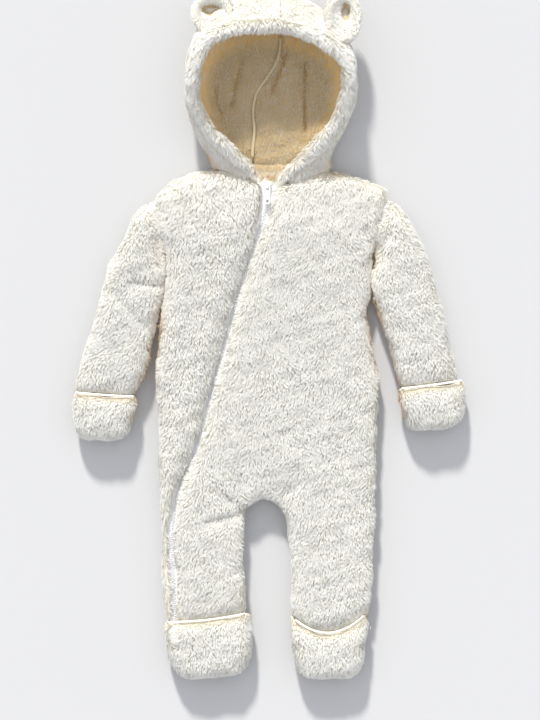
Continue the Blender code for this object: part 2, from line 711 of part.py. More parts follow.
def pouch(name, rows, sag):
    """A mitt or foot: a bag of one wall all round, open at its hem."""
    count = 9
    outer_side = [(row.outer_x, row.outer_y) for row in rows]
    inner_side = [(row.inner_x, row.inner_y) for row in rows]
    sides = polyline(outer_side + inner_side[::-1])
    last = len(rows) - 1
    outer_top, outer_under, inner_top, inner_under = [], [], [], []
    for i, row in enumerate(rows):
        along = i / last
        shares = clustered(count)
        points, edge, width = section(row, shares)
        points = sagged(points, shares, along, sag)
        edge = np.zeros(count + 1) if i == last else np.minimum(distance(points, sides), edge)
        share = quarter_round(edge / EDGE_ROUND)
        from_hem = points[:, 1] - sagged(section(rows[0], shares)[0], shares, 0, sag)[:, 1]
        hem_share = HEM_SHARE + (1 - HEM_SHARE) * ramp(-from_hem / HEM_ROUND)
        outer_top.append(np.column_stack([points, POUCH_MID + POUCH_RISE * share * hem_share]))
        outer_under.append(np.column_stack([points, POUCH_MID * (1 - share)]))

    # The hollow follows the outside, and ends POUCH_INSET short of the closed end.
    for i in range(last):
        along = i / (last - 1)
        here = along * (last - 1 - HOLLOW_STOP)
        low = int(here)
        row = Across(*(np.array(rows[low]) + (np.array(rows[low + 1]) - np.array(rows[low])) * (here - low)))
        width = section(row, clustered(count))[2]
        shares = inner_shares(width, POUCH_INSET, count)
        points = sagged(section(row, shares)[0], shares, here / last, sag)
        half = MOUTH_HALF + (SLACK / 2 - MOUTH_HALF) * ramp(along)
        gap = half * slit_share(shares) if i < last - 1 else np.zeros(count + 1)
        inner_top.append(np.column_stack([points, MID + gap]))
        inner_under.append(np.column_stack([points, MID - gap]))
    patches = tube_of(*map(np.array, (outer_top, outer_under, inner_top, inner_under)), closed_end=True)
    mesh_editor = welded(patches)
    close_and_face_out(mesh_editor)
    return make_object(name, mesh_editor)


def moved_up(outer, side):
    """The inner face of half a hood: straight up from its flat floor, and along the normals beyond."""
    normal = side * np.cross(np.gradient(outer, axis=1), np.gradient(outer, axis=0))
    normal[-1, :, 0] = 0  # the crown's end stays on the plane of the seam
    normal[:, :FLOOR_COLUMNS] = (0, 0, 1)
    return outer + HOOD_WALL * normal / np.linalg.norm(normal, axis=-1, keepdims=True)


def refined(rows, per_row):
    """A table's rows with smooth ones between them."""
    known = np.array(rows, float)
    at = np.linspace(0, len(rows) - 1, (len(rows) - 1) * per_row + 1)
    return np.stack([smooth(at, np.arange(len(rows)), known[:, k]) for k in range(known.shape[1])], axis=-1)


def rim_centre():
    """Points along the middle of the band round the face, from the right tip over to the left one."""
    right = [(row.rim_x, row.rim_y, row.rim_z) for row in HOOD_RIGHT[1:]]
    left = [(row.rim_x, row.rim_y, row.rim_z) for row in HOOD_LEFT[1:-1]]
    return polyline(right + left[::-1], step=RIM_STEP)


def hood_grid(rows, side, seam_gap):
    """Outer points of half a hood, from the flat centre back round the side to the band."""
    grid = []
    floor = np.linspace(0, 1, FLOOR_COLUMNS + 1)[:-1]
    turn = np.linspace(0, 1, 10)
    for values in refined(rows, 2):
        row = HoodRow(*values)
        seam = np.array([row.seam_x + side * seam_gap / 2, row.seam_y])
        bulge = np.array([row.side_x, row.side_y])
        rim = np.array([row.rim_x, row.rim_y])
        out = (bulge - rim) / np.linalg.norm(bulge - rim)
        rim = rim + out * HOOD_WALL / 2
        foot = seam + (bulge - seam) * FLOOR_SHARE
        knee = (8 * bulge - foot - rim) / 6
        knee_z = (8 * row.side_z - row.rim_z) / 3
        flat = [np.append(seam + (foot - seam) * share, 0) for share in floor]
        control = [np.append(foot, 0), np.append(knee, 0), np.append(knee, knee_z), np.append(rim, row.rim_z)]
        weights = [(1 - turn) ** 3, 3 * (1 - turn) ** 2 * turn, 3 * (1 - turn) * turn**2, turn**3]
        curve = sum(weight[:, None] * point for weight, point in zip(weights, control))
        grid.append(np.concatenate([flat, curve]))
    outer = np.array(grid)
    outer[-1, :, 0] = rows[-1].seam_x + side * seam_gap / 2
    return outer


def hood_half(name, rows, side):
    """Half a hood as a wall. side is -1 on the right."""
    outer = hood_grid(rows, side, SEAM)
    inner = moved_up(outer, side)
    patches = [outer, inner]
    for end in (0, -1):
        patches += [strip(outer[end], inner[end]), strip(outer[:, end], inner[:, end])]
    mesh_editor = welded(patches)
    close_and_face_out(mesh_editor)
    return make_object(name, mesh_editor)


def filled_hood():
    """The hood's outer form without its hollow, to cut the ears with."""
    mesh_editor = welded([hood_grid(HOOD_RIGHT, -1, 0.0), hood_grid(HOOD_LEFT, 1, 0.0)])
    close_and_face_out(mesh_editor)
    return helper("filled_hood", mesh_editor)


def ring_tube(name, centre, half_wide, half_high, sides):
    """An oval roll along a line of points, its section level."""
    ahead = np.gradient(centre, axis=0)
    across = np.stack([ahead[:, 1], -ahead[:, 0], np.zeros(len(ahead))], axis=-1)
    across /= np.linalg.norm(across, axis=1, keepdims=True)
    angle = np.linspace(0, 2 * np.pi, sides + 1)
    rings = (
        centre[:, None]
        + across[:, None] * (half_wide[:, None] * np.cos(angle))[..., None]
        + np.array([0, 0, 1]) * (half_high[:, None] * np.sin(angle))[..., None]
    )
    mesh_editor = welded([rings])
    close_and_face_out(mesh_editor)
    return make_object(name, mesh_editor)


def hood_rim():
    centre = rim_centre()
    count = len(centre)
    from_tip = np.minimum(np.arange(count), np.arange(count)[::-1])
    share = RIM_TIP_SHARE + (1 - RIM_TIP_SHARE) * ramp(from_tip / RIM_TIP_ROWS)
    ends = centre[[0, -1]] - (centre[[1, -2]] - centre[[0, -1]]) * RIM_END_SHARE
    centre = np.concatenate([ends[:1], centre, ends[1:]])
    share = np.concatenate([[RIM_END_SHARE], share, [RIM_END_SHARE]])
    return ring_tube("hood_rim", centre, RIM_HALF_WIDE * share, RIM_HALF_HIGH * share, 12)


def ear(spec):
    """A small round ear, cupped, its open face up and turned a little to the hood's middle."""
    angle = np.linspace(0, 2 * np.pi, 21)
    rings = []
    for ring in EAR_PROFILE:
        x = spec.half_wide * ring.share * np.cos(angle)
        y = spec.half_long * ring.share * np.sin(angle)
        lean = (x * math.cos(spec.faces) + y * math.sin(spec.faces)) * -math.sin(EAR_TILT)
        rings.append(np.column_stack([spec.x + x, spec.y + y, spec.z + ring.height + lean]))
    mesh_editor = welded([np.array(rings)])
    close_and_face_out(mesh_editor)
    return make_object(spec.name, mesh_editor)


def zip_tape(name, side):
    """The tape on one side of the teeth, from the neck to inside the foot."""
    y = np.linspace(ZIP_LINE[0].y - 3, ZIP_END_Y, 30)
    near = x_at(ZIP_LINE, y) + side * SEAM / 2
    far = x_at(ZIP_LINE, y) + side * TAPE_WIDTH
    low, high = WALL + TAPE_GAP, WALL + TAPE_GAP + TAPE_THICK
    corners = ((near, low), (far, low), (far, high), (near, high), (near, low))
    loops = np.stack([np.column_stack([x, y, np.full_like(y, z)]) for x, z in corners], axis=1)
    mesh_editor = welded([loops])
    close_and_face_out(mesh_editor)
    return make_object(name, mesh_editor, RIB_TAPE)


def box(mesh_editor, low, high):
    made = bmesh.ops.create_cube(mesh_editor, size=1.0)
    low, high = np.array(low, float), np.array(high, float)
    for vert in made["verts"]:
        vert.co = low + (np.array(vert.co) + 0.5) * (high - low)
    return made["verts"]


def rounded(mesh_editor, edges, radius):
    bmesh.ops.bevel(mesh_editor, geom=edges, offset=radius, segments=2, affect="EDGES", profile=0.5)


def helper(name, mesh_editor):
    """A cutter, or a piece that is joined to another, which isn't part of the garment itself."""
    made = make_object(name, mesh_editor)
    made.hide_render = True
    made.display_type = "WIRE"
    return made


def combine(piece, other, operation):
    change = piece.modifiers.new(f"{operation.lower()} {other.name}", "BOOLEAN")
    change.operation = operation
    change.use_self = True
    change.object = other


def zip_slider():
    """The slider: a body that narrows to the teeth, and an arched bridge for the tab."""
    mesh_editor = bmesh.new()
    half = SLIDER_WIDE / 2
    body = box(
        mesh_editor,
        (-half, SLIDER_TOP_Y - SLIDER_LONG, PLATE_TOP_Z - SLIDER_THICK),
        (half, SLIDER_TOP_Y, PLATE_TOP_Z),
    )
    for vert in body:
        if vert.co.y < PIN_Y:
            vert.co.x *= SLIDER_FOOT_WIDE / SLIDER_WIDE
        vert.co.x += SLIDER_X
    rounded(mesh_editor, list(mesh_editor.edges), SLIDER_BEVEL)
    slider = make_object("zip_slider", mesh_editor, ENAMEL)

    mesh_editor = bmesh.new()
    wide, long = BRIDGE_WIDE / 2, BRIDGE_LONG / 2
    top = PIN_Z + PIN_CLEAR + BRIDGE_BAR
    box(
        mesh_editor,
        (SLIDER_X - wide, PIN_Y - long, PLATE_TOP_Z - BRIDGE_SINK),
        (SLIDER_X + wide, PIN_Y + long, top),
    )
    upper_edges = [edge for edge in mesh_editor.edges if min(vert.co.z for vert in edge.verts) > PIN_Z]
    rounded(mesh_editor, upper_edges, BRIDGE_BEVEL)
    bridge = helper("bridge_shape", mesh_editor)

    mesh_editor = bmesh.new()
    gap = long - BRIDGE_BAR
    box(
        mesh_editor,
        (SLIDER_X - 2 * wide, PIN_Y - gap, PLATE_TOP_Z),
        (SLIDER_X + 2 * wide, PIN_Y + gap, PIN_Z + PIN_CLEAR),
    )
    hole = helper("bridge_hole", mesh_editor)
    combine(slider, bridge, "UNION")
    combine(slider, hole, "DIFFERENCE")
    return slider


def plan_prism(outline, low, high):
    """A flat plate from a plan outline."""
    mesh_editor = bmesh.new()
    face = mesh_editor.faces.new([mesh_editor.verts.new((x, y, low)) for x, y in outline])
    grown = bmesh.ops.extrude_face_region(mesh_editor, geom=[face])
    tops = [item for item in grown["geom"] if isinstance(item, bmesh.types.BMVert)]
    bmesh.ops.translate(mesh_editor, vec=(0, 0, high - low), verts=tops)
    face_out(mesh_editor)
    return mesh_editor


def round_ended(x, top_y, bottom_y, half, steps=8):
    """Plan outline of a bar with a square top and a round bottom."""
    turn = np.linspace(np.pi, 2 * np.pi, steps + 1)
    end = [(x + half * math.cos(a), bottom_y + half + half * math.sin(a)) for a in turn]
    return [(x + half, top_y), (x - half, top_y), *end]


def pull_tab():
    """The tab: a plate with a window round the bridge, a pin across it and a slot at its end."""
    low, high = PIN_Z - TAB_THICK / 2, PIN_Z + TAB_THICK / 2
    half = TAB_WIDE / 2
    top_y = PIN_Y + PIN_RADIUS
    end_y = PIN_Y - TAB_LONG + PIN_RADIUS
    tab = make_object("pull_tab", plan_prism(round_ended(SLIDER_X, top_y, end_y, half), low, high), ENAMEL)
    window = plan_prism(
        round_ended(SLIDER_X, PIN_Y - PIN_RADIUS, PIN_Y - TAB_WINDOW, half - TAB_ARM), low - 1, high + 1
    )
    slot_top = end_y + TAB_ARM + TAB_SLOT_LONG
    slot = plan_prism(
        round_ended(SLIDER_X, slot_top, slot_top - TAB_SLOT_LONG, TAB_SLOT_WIDE / 2), low - 1, high + 1
    )
    combine(tab, helper("tab_window", window), "DIFFERENCE")
    combine(tab, helper("tab_slot", slot), "DIFFERENCE")
    pin = Vector((SLIDER_X, PIN_Y, PIN_Z)) * MM  # the tab turns about it, so its origin is there
    tab.data.transform(Matrix.Translation(-pin))
    tab.location = pin
    return tab


def skin_of(piece):
    """A copy of a piece grown by the seam's gap, to cut its neighbours with."""
    mesh_editor = bmesh.new()
    mesh_editor.from_mesh(piece.data)
    mesh_editor.normal_update()
    for vert in mesh_editor.verts:
        vert.co += vert.normal * SEAM * MM * vert.calc_shell_factor()
    mesh = bpy.data.meshes.new(f"{piece.name}_skin")
    mesh_editor.to_mesh(mesh)
    mesh_editor.free()
    skin = bpy.data.objects.new(mesh.name, mesh)
    bpy.context.scene.collection.objects.link(skin)
    skin.hide_render = True
    skin.display_type = "WIRE"
    return skin


def cut_to_fit(pieces, neighbours):
    for neighbour in neighbours:
        skin = skin_of(neighbour)
        for piece in pieces:
            combine(piece, skin, "DIFFERENCE")


def main():
    for old in list(bpy.data.objects):
        bpy.data.objects.remove(old)

    front_right, front_left, back = build_body()
    body = [front_right, front_left, back]
    sleeves = {-1: sleeve("sleeve_right", SLEEVE_RIGHT), 1: sleeve("sleeve_left", SLEEVE_LEFT)}
    mitts = {-1: pouch("mitt_right", MITT_RIGHT, MITT_SAG), 1: pouch("mitt_left", MITT_LEFT, MITT_SAG)}
    feet = {
        -1: pouch("foot_right", FOOT_RIGHT, FOOT_RIGHT_SAG),
        1: pouch("foot_left", FOOT_LEFT, FOOT_LEFT_SAG),
    }
    hood = {-1: hood_half("hood_right", HOOD_RIGHT, -1), 1: hood_half("hood_left", HOOD_LEFT, 1)}
    rim = hood_rim()
    ears = [ear(spec) for spec in EARS]
    tapes = [zip_tape("zip_tape_right", -1), zip_tape("zip_tape_left", 1)]
    zip_slider()
    pull_tab()

    cut_to_fit(list(sleeves.values()) + list(hood.values()), [filled_body(), *body])
    cut_to_fit([rim], body)
    cut_to_fit(body + tapes, feet.values())
    for side, arm in sleeves.items():
        cut_to_fit([arm], [mitts[side]])
    cut_to_fit(list(hood.values()) + ears, [rim])
    cut_to_fit(ears, [filled_hood()])


main()
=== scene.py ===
"""A hooded baby onesie of double-faced teddy fleece, laid flat on its back and seen from straight above.

+X is the wearer's left, +Y runs from the feet to the hood and +Z is up. Tables are in millimetres, and
meshes are in metres.
"""

import math
from collections import namedtuple

import bpy
import numpy as np
from bpy.props import FloatProperty, FloatVectorProperty, PointerProperty
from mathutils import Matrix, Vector
from mathutils.bvhtree import BVHTree
from mathutils.kdtree import KDTree


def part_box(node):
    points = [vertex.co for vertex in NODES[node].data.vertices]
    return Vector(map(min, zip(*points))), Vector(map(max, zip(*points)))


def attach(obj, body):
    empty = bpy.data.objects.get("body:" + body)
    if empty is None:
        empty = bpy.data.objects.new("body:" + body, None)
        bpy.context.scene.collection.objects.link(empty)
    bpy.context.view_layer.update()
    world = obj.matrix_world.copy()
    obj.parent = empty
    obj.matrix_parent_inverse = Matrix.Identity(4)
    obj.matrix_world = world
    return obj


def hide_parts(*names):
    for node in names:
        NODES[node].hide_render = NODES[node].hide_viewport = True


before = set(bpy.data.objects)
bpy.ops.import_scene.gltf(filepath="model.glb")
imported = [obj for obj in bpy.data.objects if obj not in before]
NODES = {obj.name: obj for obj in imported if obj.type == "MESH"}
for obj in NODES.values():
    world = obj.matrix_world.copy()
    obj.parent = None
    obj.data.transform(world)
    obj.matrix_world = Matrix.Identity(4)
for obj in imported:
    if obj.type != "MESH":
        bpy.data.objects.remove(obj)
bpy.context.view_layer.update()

bl_info = {
    "name": "Fleece onesie",
    "version": (1, 0, 0),
    "blender": (4, 5, 0),
    "location": "View3D > Sidebar > Onesie",
    "description": "Dresses a baby onesie's solids in fleece, with its hems, zip and stage",
    "category": "Object",
}

MM = 0.001
SEED = 27
LEAST = 1e-12  # Keeps a division by a length of nothing from failing.


def linear(code):
    """A linear colour, from an sRGB hex value."""
    parts = [(code >> shift & 255) / 255 for shift in (16, 8, 0)]
    return tuple(p / 12.92 if p <= 0.04045 else ((p + 0.055) / 1.055) ** 2.4 for p in parts)


def colour(name, description, code):
    """A colour that a user can change, from an sRGB hex value."""
    return FloatVectorProperty(
        name=name, description=description, subtype="COLOR", size=3, min=0, max=1, default=linear(code)
    )


def length(name, description, millimetres):
    """A length that a user can change."""
    return FloatProperty(name=name, description=description, unit="LENGTH", min=0, default=millimetres * MM)


class FleeceSettings(bpy.types.PropertyGroup):
    """Sizes and colours of the fleece"""

    grid: length("Grid", "Spacing of the points of the cloth under the pile", 4.0)
    pile: length("Pile", "Height of the pile over the knit it grows from", 4.5)
    inner_pile: length("Inner pile", "Height of the pile inside the hood", 2.6)
    lean: length("Lean", "How far a lock's tip lies from its root, along the nap", 6.0)
    lock_wide: length("Lock width", "Width of one lock of fibres", 0.7)
    tuft: length("Tuft", "Distance between the tufts that the locks draw together in", 1.25)
    density: FloatProperty(
        name="Density",
        description="Locks on each square millimetre of the front",
        min=0.01,
        max=3,
        default=0.95,
    )
    knit: length("Knit", "Thickness of the knit under the pile", 2.0)
    tip: colour("Tips", "Colour of the pile's tips", 0xFFFFFB)
    root: colour("Roots", "Colour deep in the pile", 0xF2EBD9)
    shade: colour("Shade", "Colour of the darker fibres in the pile", 0xDEE0E1)
    # Painted warm light and shade: the pile is tinted towards this colour along the hems as painted shade,
    # and in low places by the sides and neck as painted bounced light.
    warm: colour("Warm", "Colour of the pile where it is pressed flat along a seam", 0xF3CF94)
    hem: colour("Hem", "Colour of the bound hems", 0xEBE3CD)
    # The welt's dark tan is partly the shorn seam and partly painted shade of the hood's hollow.
    welt: colour("Welt", "Colour of the hood's back seam, where its pile is shorn", 0xAA9A79)
    # The inner colours are painted: tan tips, roots and darker fibres as painted shade in the hood's hollow,
    # and inner warm as a painted glow of light through its walls.
    inner_tip: colour("Inner tips", "Colour of the pile's tips inside the hood", 0xDACBAB)
    inner_root: colour("Inner roots", "Colour deep in the pile inside the hood", 0xD6B680)
    inner_warm: colour("Inner warm", "Colour of the hood's walls, which light shines through", 0xFFE4A6)
    inner_shade: colour("Inner shade", "Colour of the darker fibres inside the hood", 0xC6A262)


class ZipSettings(bpy.types.PropertyGroup):
    """Sizes and colours of the zip"""

    pitch: length("Pitch", "Distance from one tooth to the next", 2.4)
    tooth: length("Tooth", "Thickness of the coil's wire", 0.9)
    tape: colour("Tape", "Colour of the woven tape", 0xE9E9E6)
    coil: colour("Coil", "Colour of the nylon teeth", 0xF4F4F6)
    enamel: colour("Enamel", "Colour of the slider and its tab", 0xF2F2F2)


class StageSettings(bpy.types.PropertyGroup):
    """The camera, the light and the floor"""

    scale: length("Scale", "Size of one pixel of the photograph where the garment lies", 1.3)
    distance: length("Distance", "Height of the camera over the garment", 3000.0)
    sun_high: FloatProperty(
        name="Sun height",
        description="The light's angle over the floor",
        subtype="ANGLE",
        default=math.radians(26.5),
    )
    sun_turn: FloatProperty(
        name="Sun turn",
        description="The light's angle left of the hood's end",
        subtype="ANGLE",
        default=math.radians(10.5),
    )
    sun_power: FloatProperty(name="Sun power", description="Strength of the main light", min=0, default=5.0)
    fill_power: FloatProperty(
        name="Fill power", description="Strength of the light all round", min=0, default=0.95
    )
    sun_colour: colour("Sun colour", "Colour of the main light", 0xFFFDF8)
    fill_colour: colour("Fill colour", "Colour of the light all round", 0xF6F8FF)
    floor: colour("Floor", "Colour of the floor", 0xC2C2C2)


# ---------------------------------------------------------------- materials


def add(tree, kind, place, settings=None, links=None):
    """A node with its settings. Each link names an input and the socket that feeds it."""
    node = tree.nodes.new(kind)
    node.location = place
    for name, value in (settings or {}).items():
        if name in node.inputs:
            node.inputs[name].default_value = value
        else:
            setattr(node, name, value)
    for name, socket in (links or {}).items():
        tree.links.new(socket, node.inputs[name])
    return node


def new_material(name):
    """The node tree of an empty material."""
    made = bpy.data.materials.new(name)
    made.use_nodes = True
    made.node_tree.nodes.clear()
    return made.node_tree


def opaque(rgb):
    """The colour with full alpha."""
    return (*rgb, 1.0)


def to_output(tree, shader, tint=None, through=0.0):
    """Leads a shader to the material's output. A share of it lets light through, in the tint."""
    last = shader
    if through:
        passed = add(tree, "ShaderNodeBsdfTranslucent", (0, -400), links={"Color": tint})
        last = add(tree, "ShaderNodeMixShader", (300, 0), {"Fac": through})
        tree.links.new(shader.outputs[0], last.inputs[1])
        tree.links.new(passed.outputs[0], last.inputs[2])
    out = add(tree, "ShaderNodeOutputMaterial", (500, 0))
    tree.links.new(last.outputs[0], out.inputs["Surface"])


def pile_material(name, tip, root, shade, warm):
    """Polyester pile, knitted and sheared.

    Its locks shine a little where the light grazes them, and light that comes through them from behind
    makes their thin ends glow. The mesh says for each lock how dark it is (red), which is its own random tone
    with painted shade in the hood's folds and a painted highlight on the shoulders, how near its tip
    (green), and how much painted warm light and shade it takes (blue).
    """
    tree = new_material(name)
    lock = add(tree, "ShaderNodeAttribute", (-900, 0), {"attribute_name": "lock"})
    parts = add(tree, "ShaderNodeSeparateColor", (-700, 0), links={"Color": lock.outputs["Color"]})
    along = add(
        tree,
        "ShaderNodeMix",
        (-450, 100),
        {"data_type": "RGBA", "A": opaque(root), "B": opaque(tip)},
        {"Factor": parts.outputs["Green"]},
    )
    shaded = add(
        tree,
        "ShaderNodeMix",
        (-250, 100),
        {"data_type": "RGBA", "B": opaque(shade)},
        {"Factor": parts.outputs["Red"], "A": along.outputs["Result"]},
    )
    warmed = add(
        tree,
        "ShaderNodeMix",
        (-100, 100),
        {"data_type": "RGBA", "B": opaque(warm)},
        {"Factor": parts.outputs["Blue"], "A": shaded.outputs["Result"]},
    )
    tint = warmed.outputs["Result"]
    finish = {"Roughness": 0.42, "Specular IOR Level": 0.45, "Sheen Weight": 0.12, "Sheen Roughness": 0.4}
    shader = add(tree, "ShaderNodeBsdfPrincipled", (0, 100), finish, {"Base Color": tint})
    to_output(tree, shader, tint, 0.36)


def bumpy_material(name, base, other, scale_mm, roughness, bump, specular=0.3, through=0.0):
    """A finish with a fine grain of a real size, in two near colours."""
    tree = new_material(name)
    place = add(tree, "ShaderNodeTexCoord", (-1100, 0))
    pattern = {"Scale": 1 / (scale_mm * MM), "Detail": 3.0, "Roughness": 0.6}
    grain = add(tree, "ShaderNodeTexNoise", (-900, 0), pattern, {"Vector": place.outputs["Object"]})
    colours = {"data_type": "RGBA", "A": opaque(base), "B": opaque(other)}
    mixed = add(tree, "ShaderNodeMix", (-500, 100), colours, {"Factor": grain.outputs["Fac"]})
    tint = mixed.outputs["Result"]
    depth = {"Strength": 0.6, "Distance": bump}
    relief = add(tree, "ShaderNodeBump", (-300, -200), depth, {"Height": grain.outputs["Fac"]})
    shader = add(
        tree,
        "ShaderNodeBsdfPrincipled",
        (0, 0),
        {"Roughness": roughness, "Specular IOR Level": specular},
        {"Base Color": tint, "Normal": relief.outputs["Normal"]},
    )
    to_output(tree, shader, tint, through)


def plain_material(name, rgb, roughness):
    """A finish that is the same all over."""
    tree = new_material(name)
    finish = {"Base Color": opaque(rgb), "Roughness": roughness, "Specular IOR Level": 0.1}
    to_output(tree, add(tree, "ShaderNodeBsdfPrincipled", (0, 0), finish))


# ---------------------------------------------------------------- cloth

# Outer is where the pile ends and inset is where the knit lies. Seen is 1 for the faces that nothing covers.
Cloth = namedtuple("Cloth", "outer inset normals faces seen")
Crease = namedtuple("Crease", "x0 y0 x1 y1 depth width")
CREASES = (
    Crease(-178, 74, -138, 68, 4.0, 8),
    Crease(-150, 132, -142, 92, 4.0, 8),
    Crease(-206, 64, -158, 12, 3.0, 10),
    Crease(126, 145, 138, 90, 4.5, 9),
    Crease(154, 136, 144, 100, 4.0, 9),
    Crease(-60, -205, -28, -226, 3.0, 9),
    Crease(18, -205, 30, -196, 3.0, 9),
    Crease(-80, -238, -28, -226, 3.0, 10),
    Crease(47, 358, 47, 270, 4.0, 6),
    Crease(24, 376, 4, 322, 4.0, 6),
    Crease(-34, 362, -49, 304, 4.0, 7),
)

# Troughs in the side that it lies on.
HIDDEN_CREASES = (
    Crease(-96, 96, -22, 78, 3.5, 10),
    Crease(14, 64, 104, 88, 4.0, 12),
    Crease(-70, -12, 62, -30, 4.5, 13),
    Crease(-118, -96, -48, -112, 3.0, 9),
    Crease(36, -104, 122, -88, 3.5, 11),
    Crease(-112, -262, -52, -248, 4.0, 10),
    Crease(48, -240, 116, -262, 3.5, 9),
    Crease(-182, 82, -150, 58, 3.5, 9),
    Crease(-226, 8, -186, -14, 3.0, 8),
    Crease(148, 64, 188, 84, 4.0, 10),
    Crease(186, -10, 230, 10, 3.0, 9),
    Crease(-58, 300, -20, 346, 3.0, 9),
    Crease(30, 330, 66, 292, 2.5, 8),
)

Wave = namedtuple("Wave", "length turn phase")
WAVES = (
    Wave(83, 20, 0.3),
    Wave(61, 75, 1.9),
    Wave(47, 130, 4.1),
    Wave(38, 165, 2.6),
    Wave(29, 50, 5.2),
    Wave(23, 105, 0.9),
)
RELIEF, FINE_RELIEF = 1.15 * MM, 0.5 * MM
FLAT_UNDER = 8 * MM  # Below this height the cloth's relief dies out towards the floor.
LOWEST_PILE, LOWEST_KNIT = 0.3 * MM, 1.2 * MM


def waves(points, stretch=1.0):
    """A smooth uneven value over points in metres, about -1 to 1."""
    total = np.zeros(len(points))
    for wave in WAVES:
        step = 2 * math.pi / (wave.length * stretch * MM)
        turn = math.radians(wave.turn)
        flat = points[:, 0] * math.cos(turn) + points[:, 1] * math.sin(turn) + 0.7 * points[:, 2]
        total += np.sin(flat * step + wave.phase)
    return total / 3.2


def smooth_step(t):
    """0 below 0, 1 above 1, and an even rise with soft ends between."""
    t = np.clip(t, 0, 1)
    return t * t * (3 - 2 * t)


def to_line(points, line):
    """The shortest ways in plan from points to a polyline, all in metres."""
    line = np.asarray(line, float)
    start, run = line[:-1], np.diff(line, axis=0)
    off = points[:, None, :2] - start
    share = np.clip((off * run).sum(-1) / (run**2).sum(-1), 0, 1)
    ways = share[..., None] * run - off
    nearest = np.linalg.norm(ways, axis=-1).argmin(-1)
    return ways[np.arange(len(points)), nearest]


def from_line(points, line):
    """Distance in plan of points from a polyline, all in metres."""
    return np.linalg.norm(to_line(points, line), axis=-1)


def mesh_arrays(mesh):
    """A mesh's points, and the points of each of its triangles."""
    points = np.empty(len(mesh.vertices) * 3)
    mesh.vertices.foreach_get("co", points)
    mesh.calc_loop_triangles()
    faces = np.empty(len(mesh.loop_triangles) * 3, int)
    mesh.loop_triangles.foreach_get("vertices", faces)
    return points.reshape(-1, 3), faces.reshape(-1, 3)


def new_object(name, points, faces, material):
    """A smooth-shaded object of these points and faces, in the material of that name."""
    mesh = bpy.data.meshes.new(name)
    mesh.from_pydata(points.tolist(), [], faces.tolist())
    mesh.shade_smooth()
    mesh.materials.append(bpy.data.materials[material])
    made = bpy.data.objects.new(name, mesh)
    bpy.context.scene.collection.objects.link(made)
    return made


def remeshed(name, grid):
    """The node's surface again as an even net of points."""
    copy = bpy.data.objects.new("remesh", NODES[name].data.copy())
    bpy.context.scene.collection.objects.link(copy)
    change = copy.modifiers.new("even net", "REMESH")
    change.mode = "VOXEL"
    change.voxel_size = grid
    seen = copy.evaluated_get(bpy.context.evaluated_depsgraph_get())
    mesh = bpy.data.meshes.new_from_object(seen)
    points, faces = mesh_arrays(mesh)
    bpy.data.objects.remove(copy)
    bpy.data.meshes.remove(mesh)
    return points, faces


def unit(vectors):
    """The same directions with a length of one."""
    return vectors / np.maximum(np.linalg.norm(vectors, axis=-1, keepdims=True), LEAST)


def crosses(points, faces):
    """Each triangle's normal, as long as twice its area."""
    a, b, c = (points[faces[:, k]] for k in range(3))
    return np.cross(b - a, c - a)


def edge_pairs(faces):
    """The two points of each edge, each edge once."""
    pairs = np.concatenate([faces[:, [0, 1]], faces[:, [1, 2]], faces[:, [2, 0]]])
    return np.unique(np.sort(pairs, axis=1), axis=0)


def relaxed(values, pairs, times):
    """Values at points, each drawn halfway to the mean of its neighbours, some times over."""
    values = values.copy()
    count = np.bincount(pairs.ravel(), minlength=len(values)).astype(float)
    flat = values.reshape(len(values), -1)
    for _ in range(times):
        for k in range(flat.shape[1]):
            total = np.bincount(pairs[:, 0], flat[pairs[:, 1], k], len(values))
            total += np.bincount(pairs[:, 1], flat[pairs[:, 0], k], len(values))
            flat[:, k] += 0.5 * (total / np.maximum(count, 1) - flat[:, k])
    return flat.reshape(values.shape)


def normals_of(points, faces, weight):
    """A normal for each point, from the weighted faces around it."""
    face = crosses(points, faces) * weight[:, None]
    total = np.zeros_like(points)
    for k in range(3):
        for axis in range(3):
            total[:, axis] += np.bincount(faces[:, k], face[:, axis], len(points))
    return unit(total)


TREES = {}
# A face is covered when another piece lies within this distance of a point just under the face.
COVER, JUST_UNDER = 3.2 * MM, 0.8 * MM


def tree_of(name):
    """The node's surface, ready for rays."""
    if name not in TREES:
        points, faces = mesh_arrays(NODES[name].data)
        TREES[name] = BVHTree.FromPolygons(points.tolist(), faces.tolist())
    return TREES[name]


def open_faces(name, points, faces):
    """1 for faces that nothing lies on, and 0 for those that another piece covers."""
    centres = points[faces].mean(1)
    normals = unit(crosses(points, faces))
    seen = np.ones(len(faces))
    for other in NODES:
        if other == name:
            continue
        box_low, box_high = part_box(other)
        low, high = np.array(box_low) - COVER, np.array(box_high) + COVER
        inside = np.all((centres > low) & (centres < high), axis=1)
        for i in np.flatnonzero(inside & (seen > 0)):
            start = Vector(centres[i] - normals[i] * JUST_UNDER)
            if tree_of(other).ray_cast(start, Vector(normals[i]), COVER)[0] is not None:
                seen[i] = 0
    return seen


def crease_depth(points, creases):
    """How deep these creases are at each point."""
    depth = np.zeros(len(points))
    for crease in creases:
        line = np.array([(crease.x0, crease.y0), (crease.x1, crease.y1)]) * MM
        depth += crease.depth * MM * (1 - smooth_step(from_line(points, line) / (crease.width * MM)))
    return depth


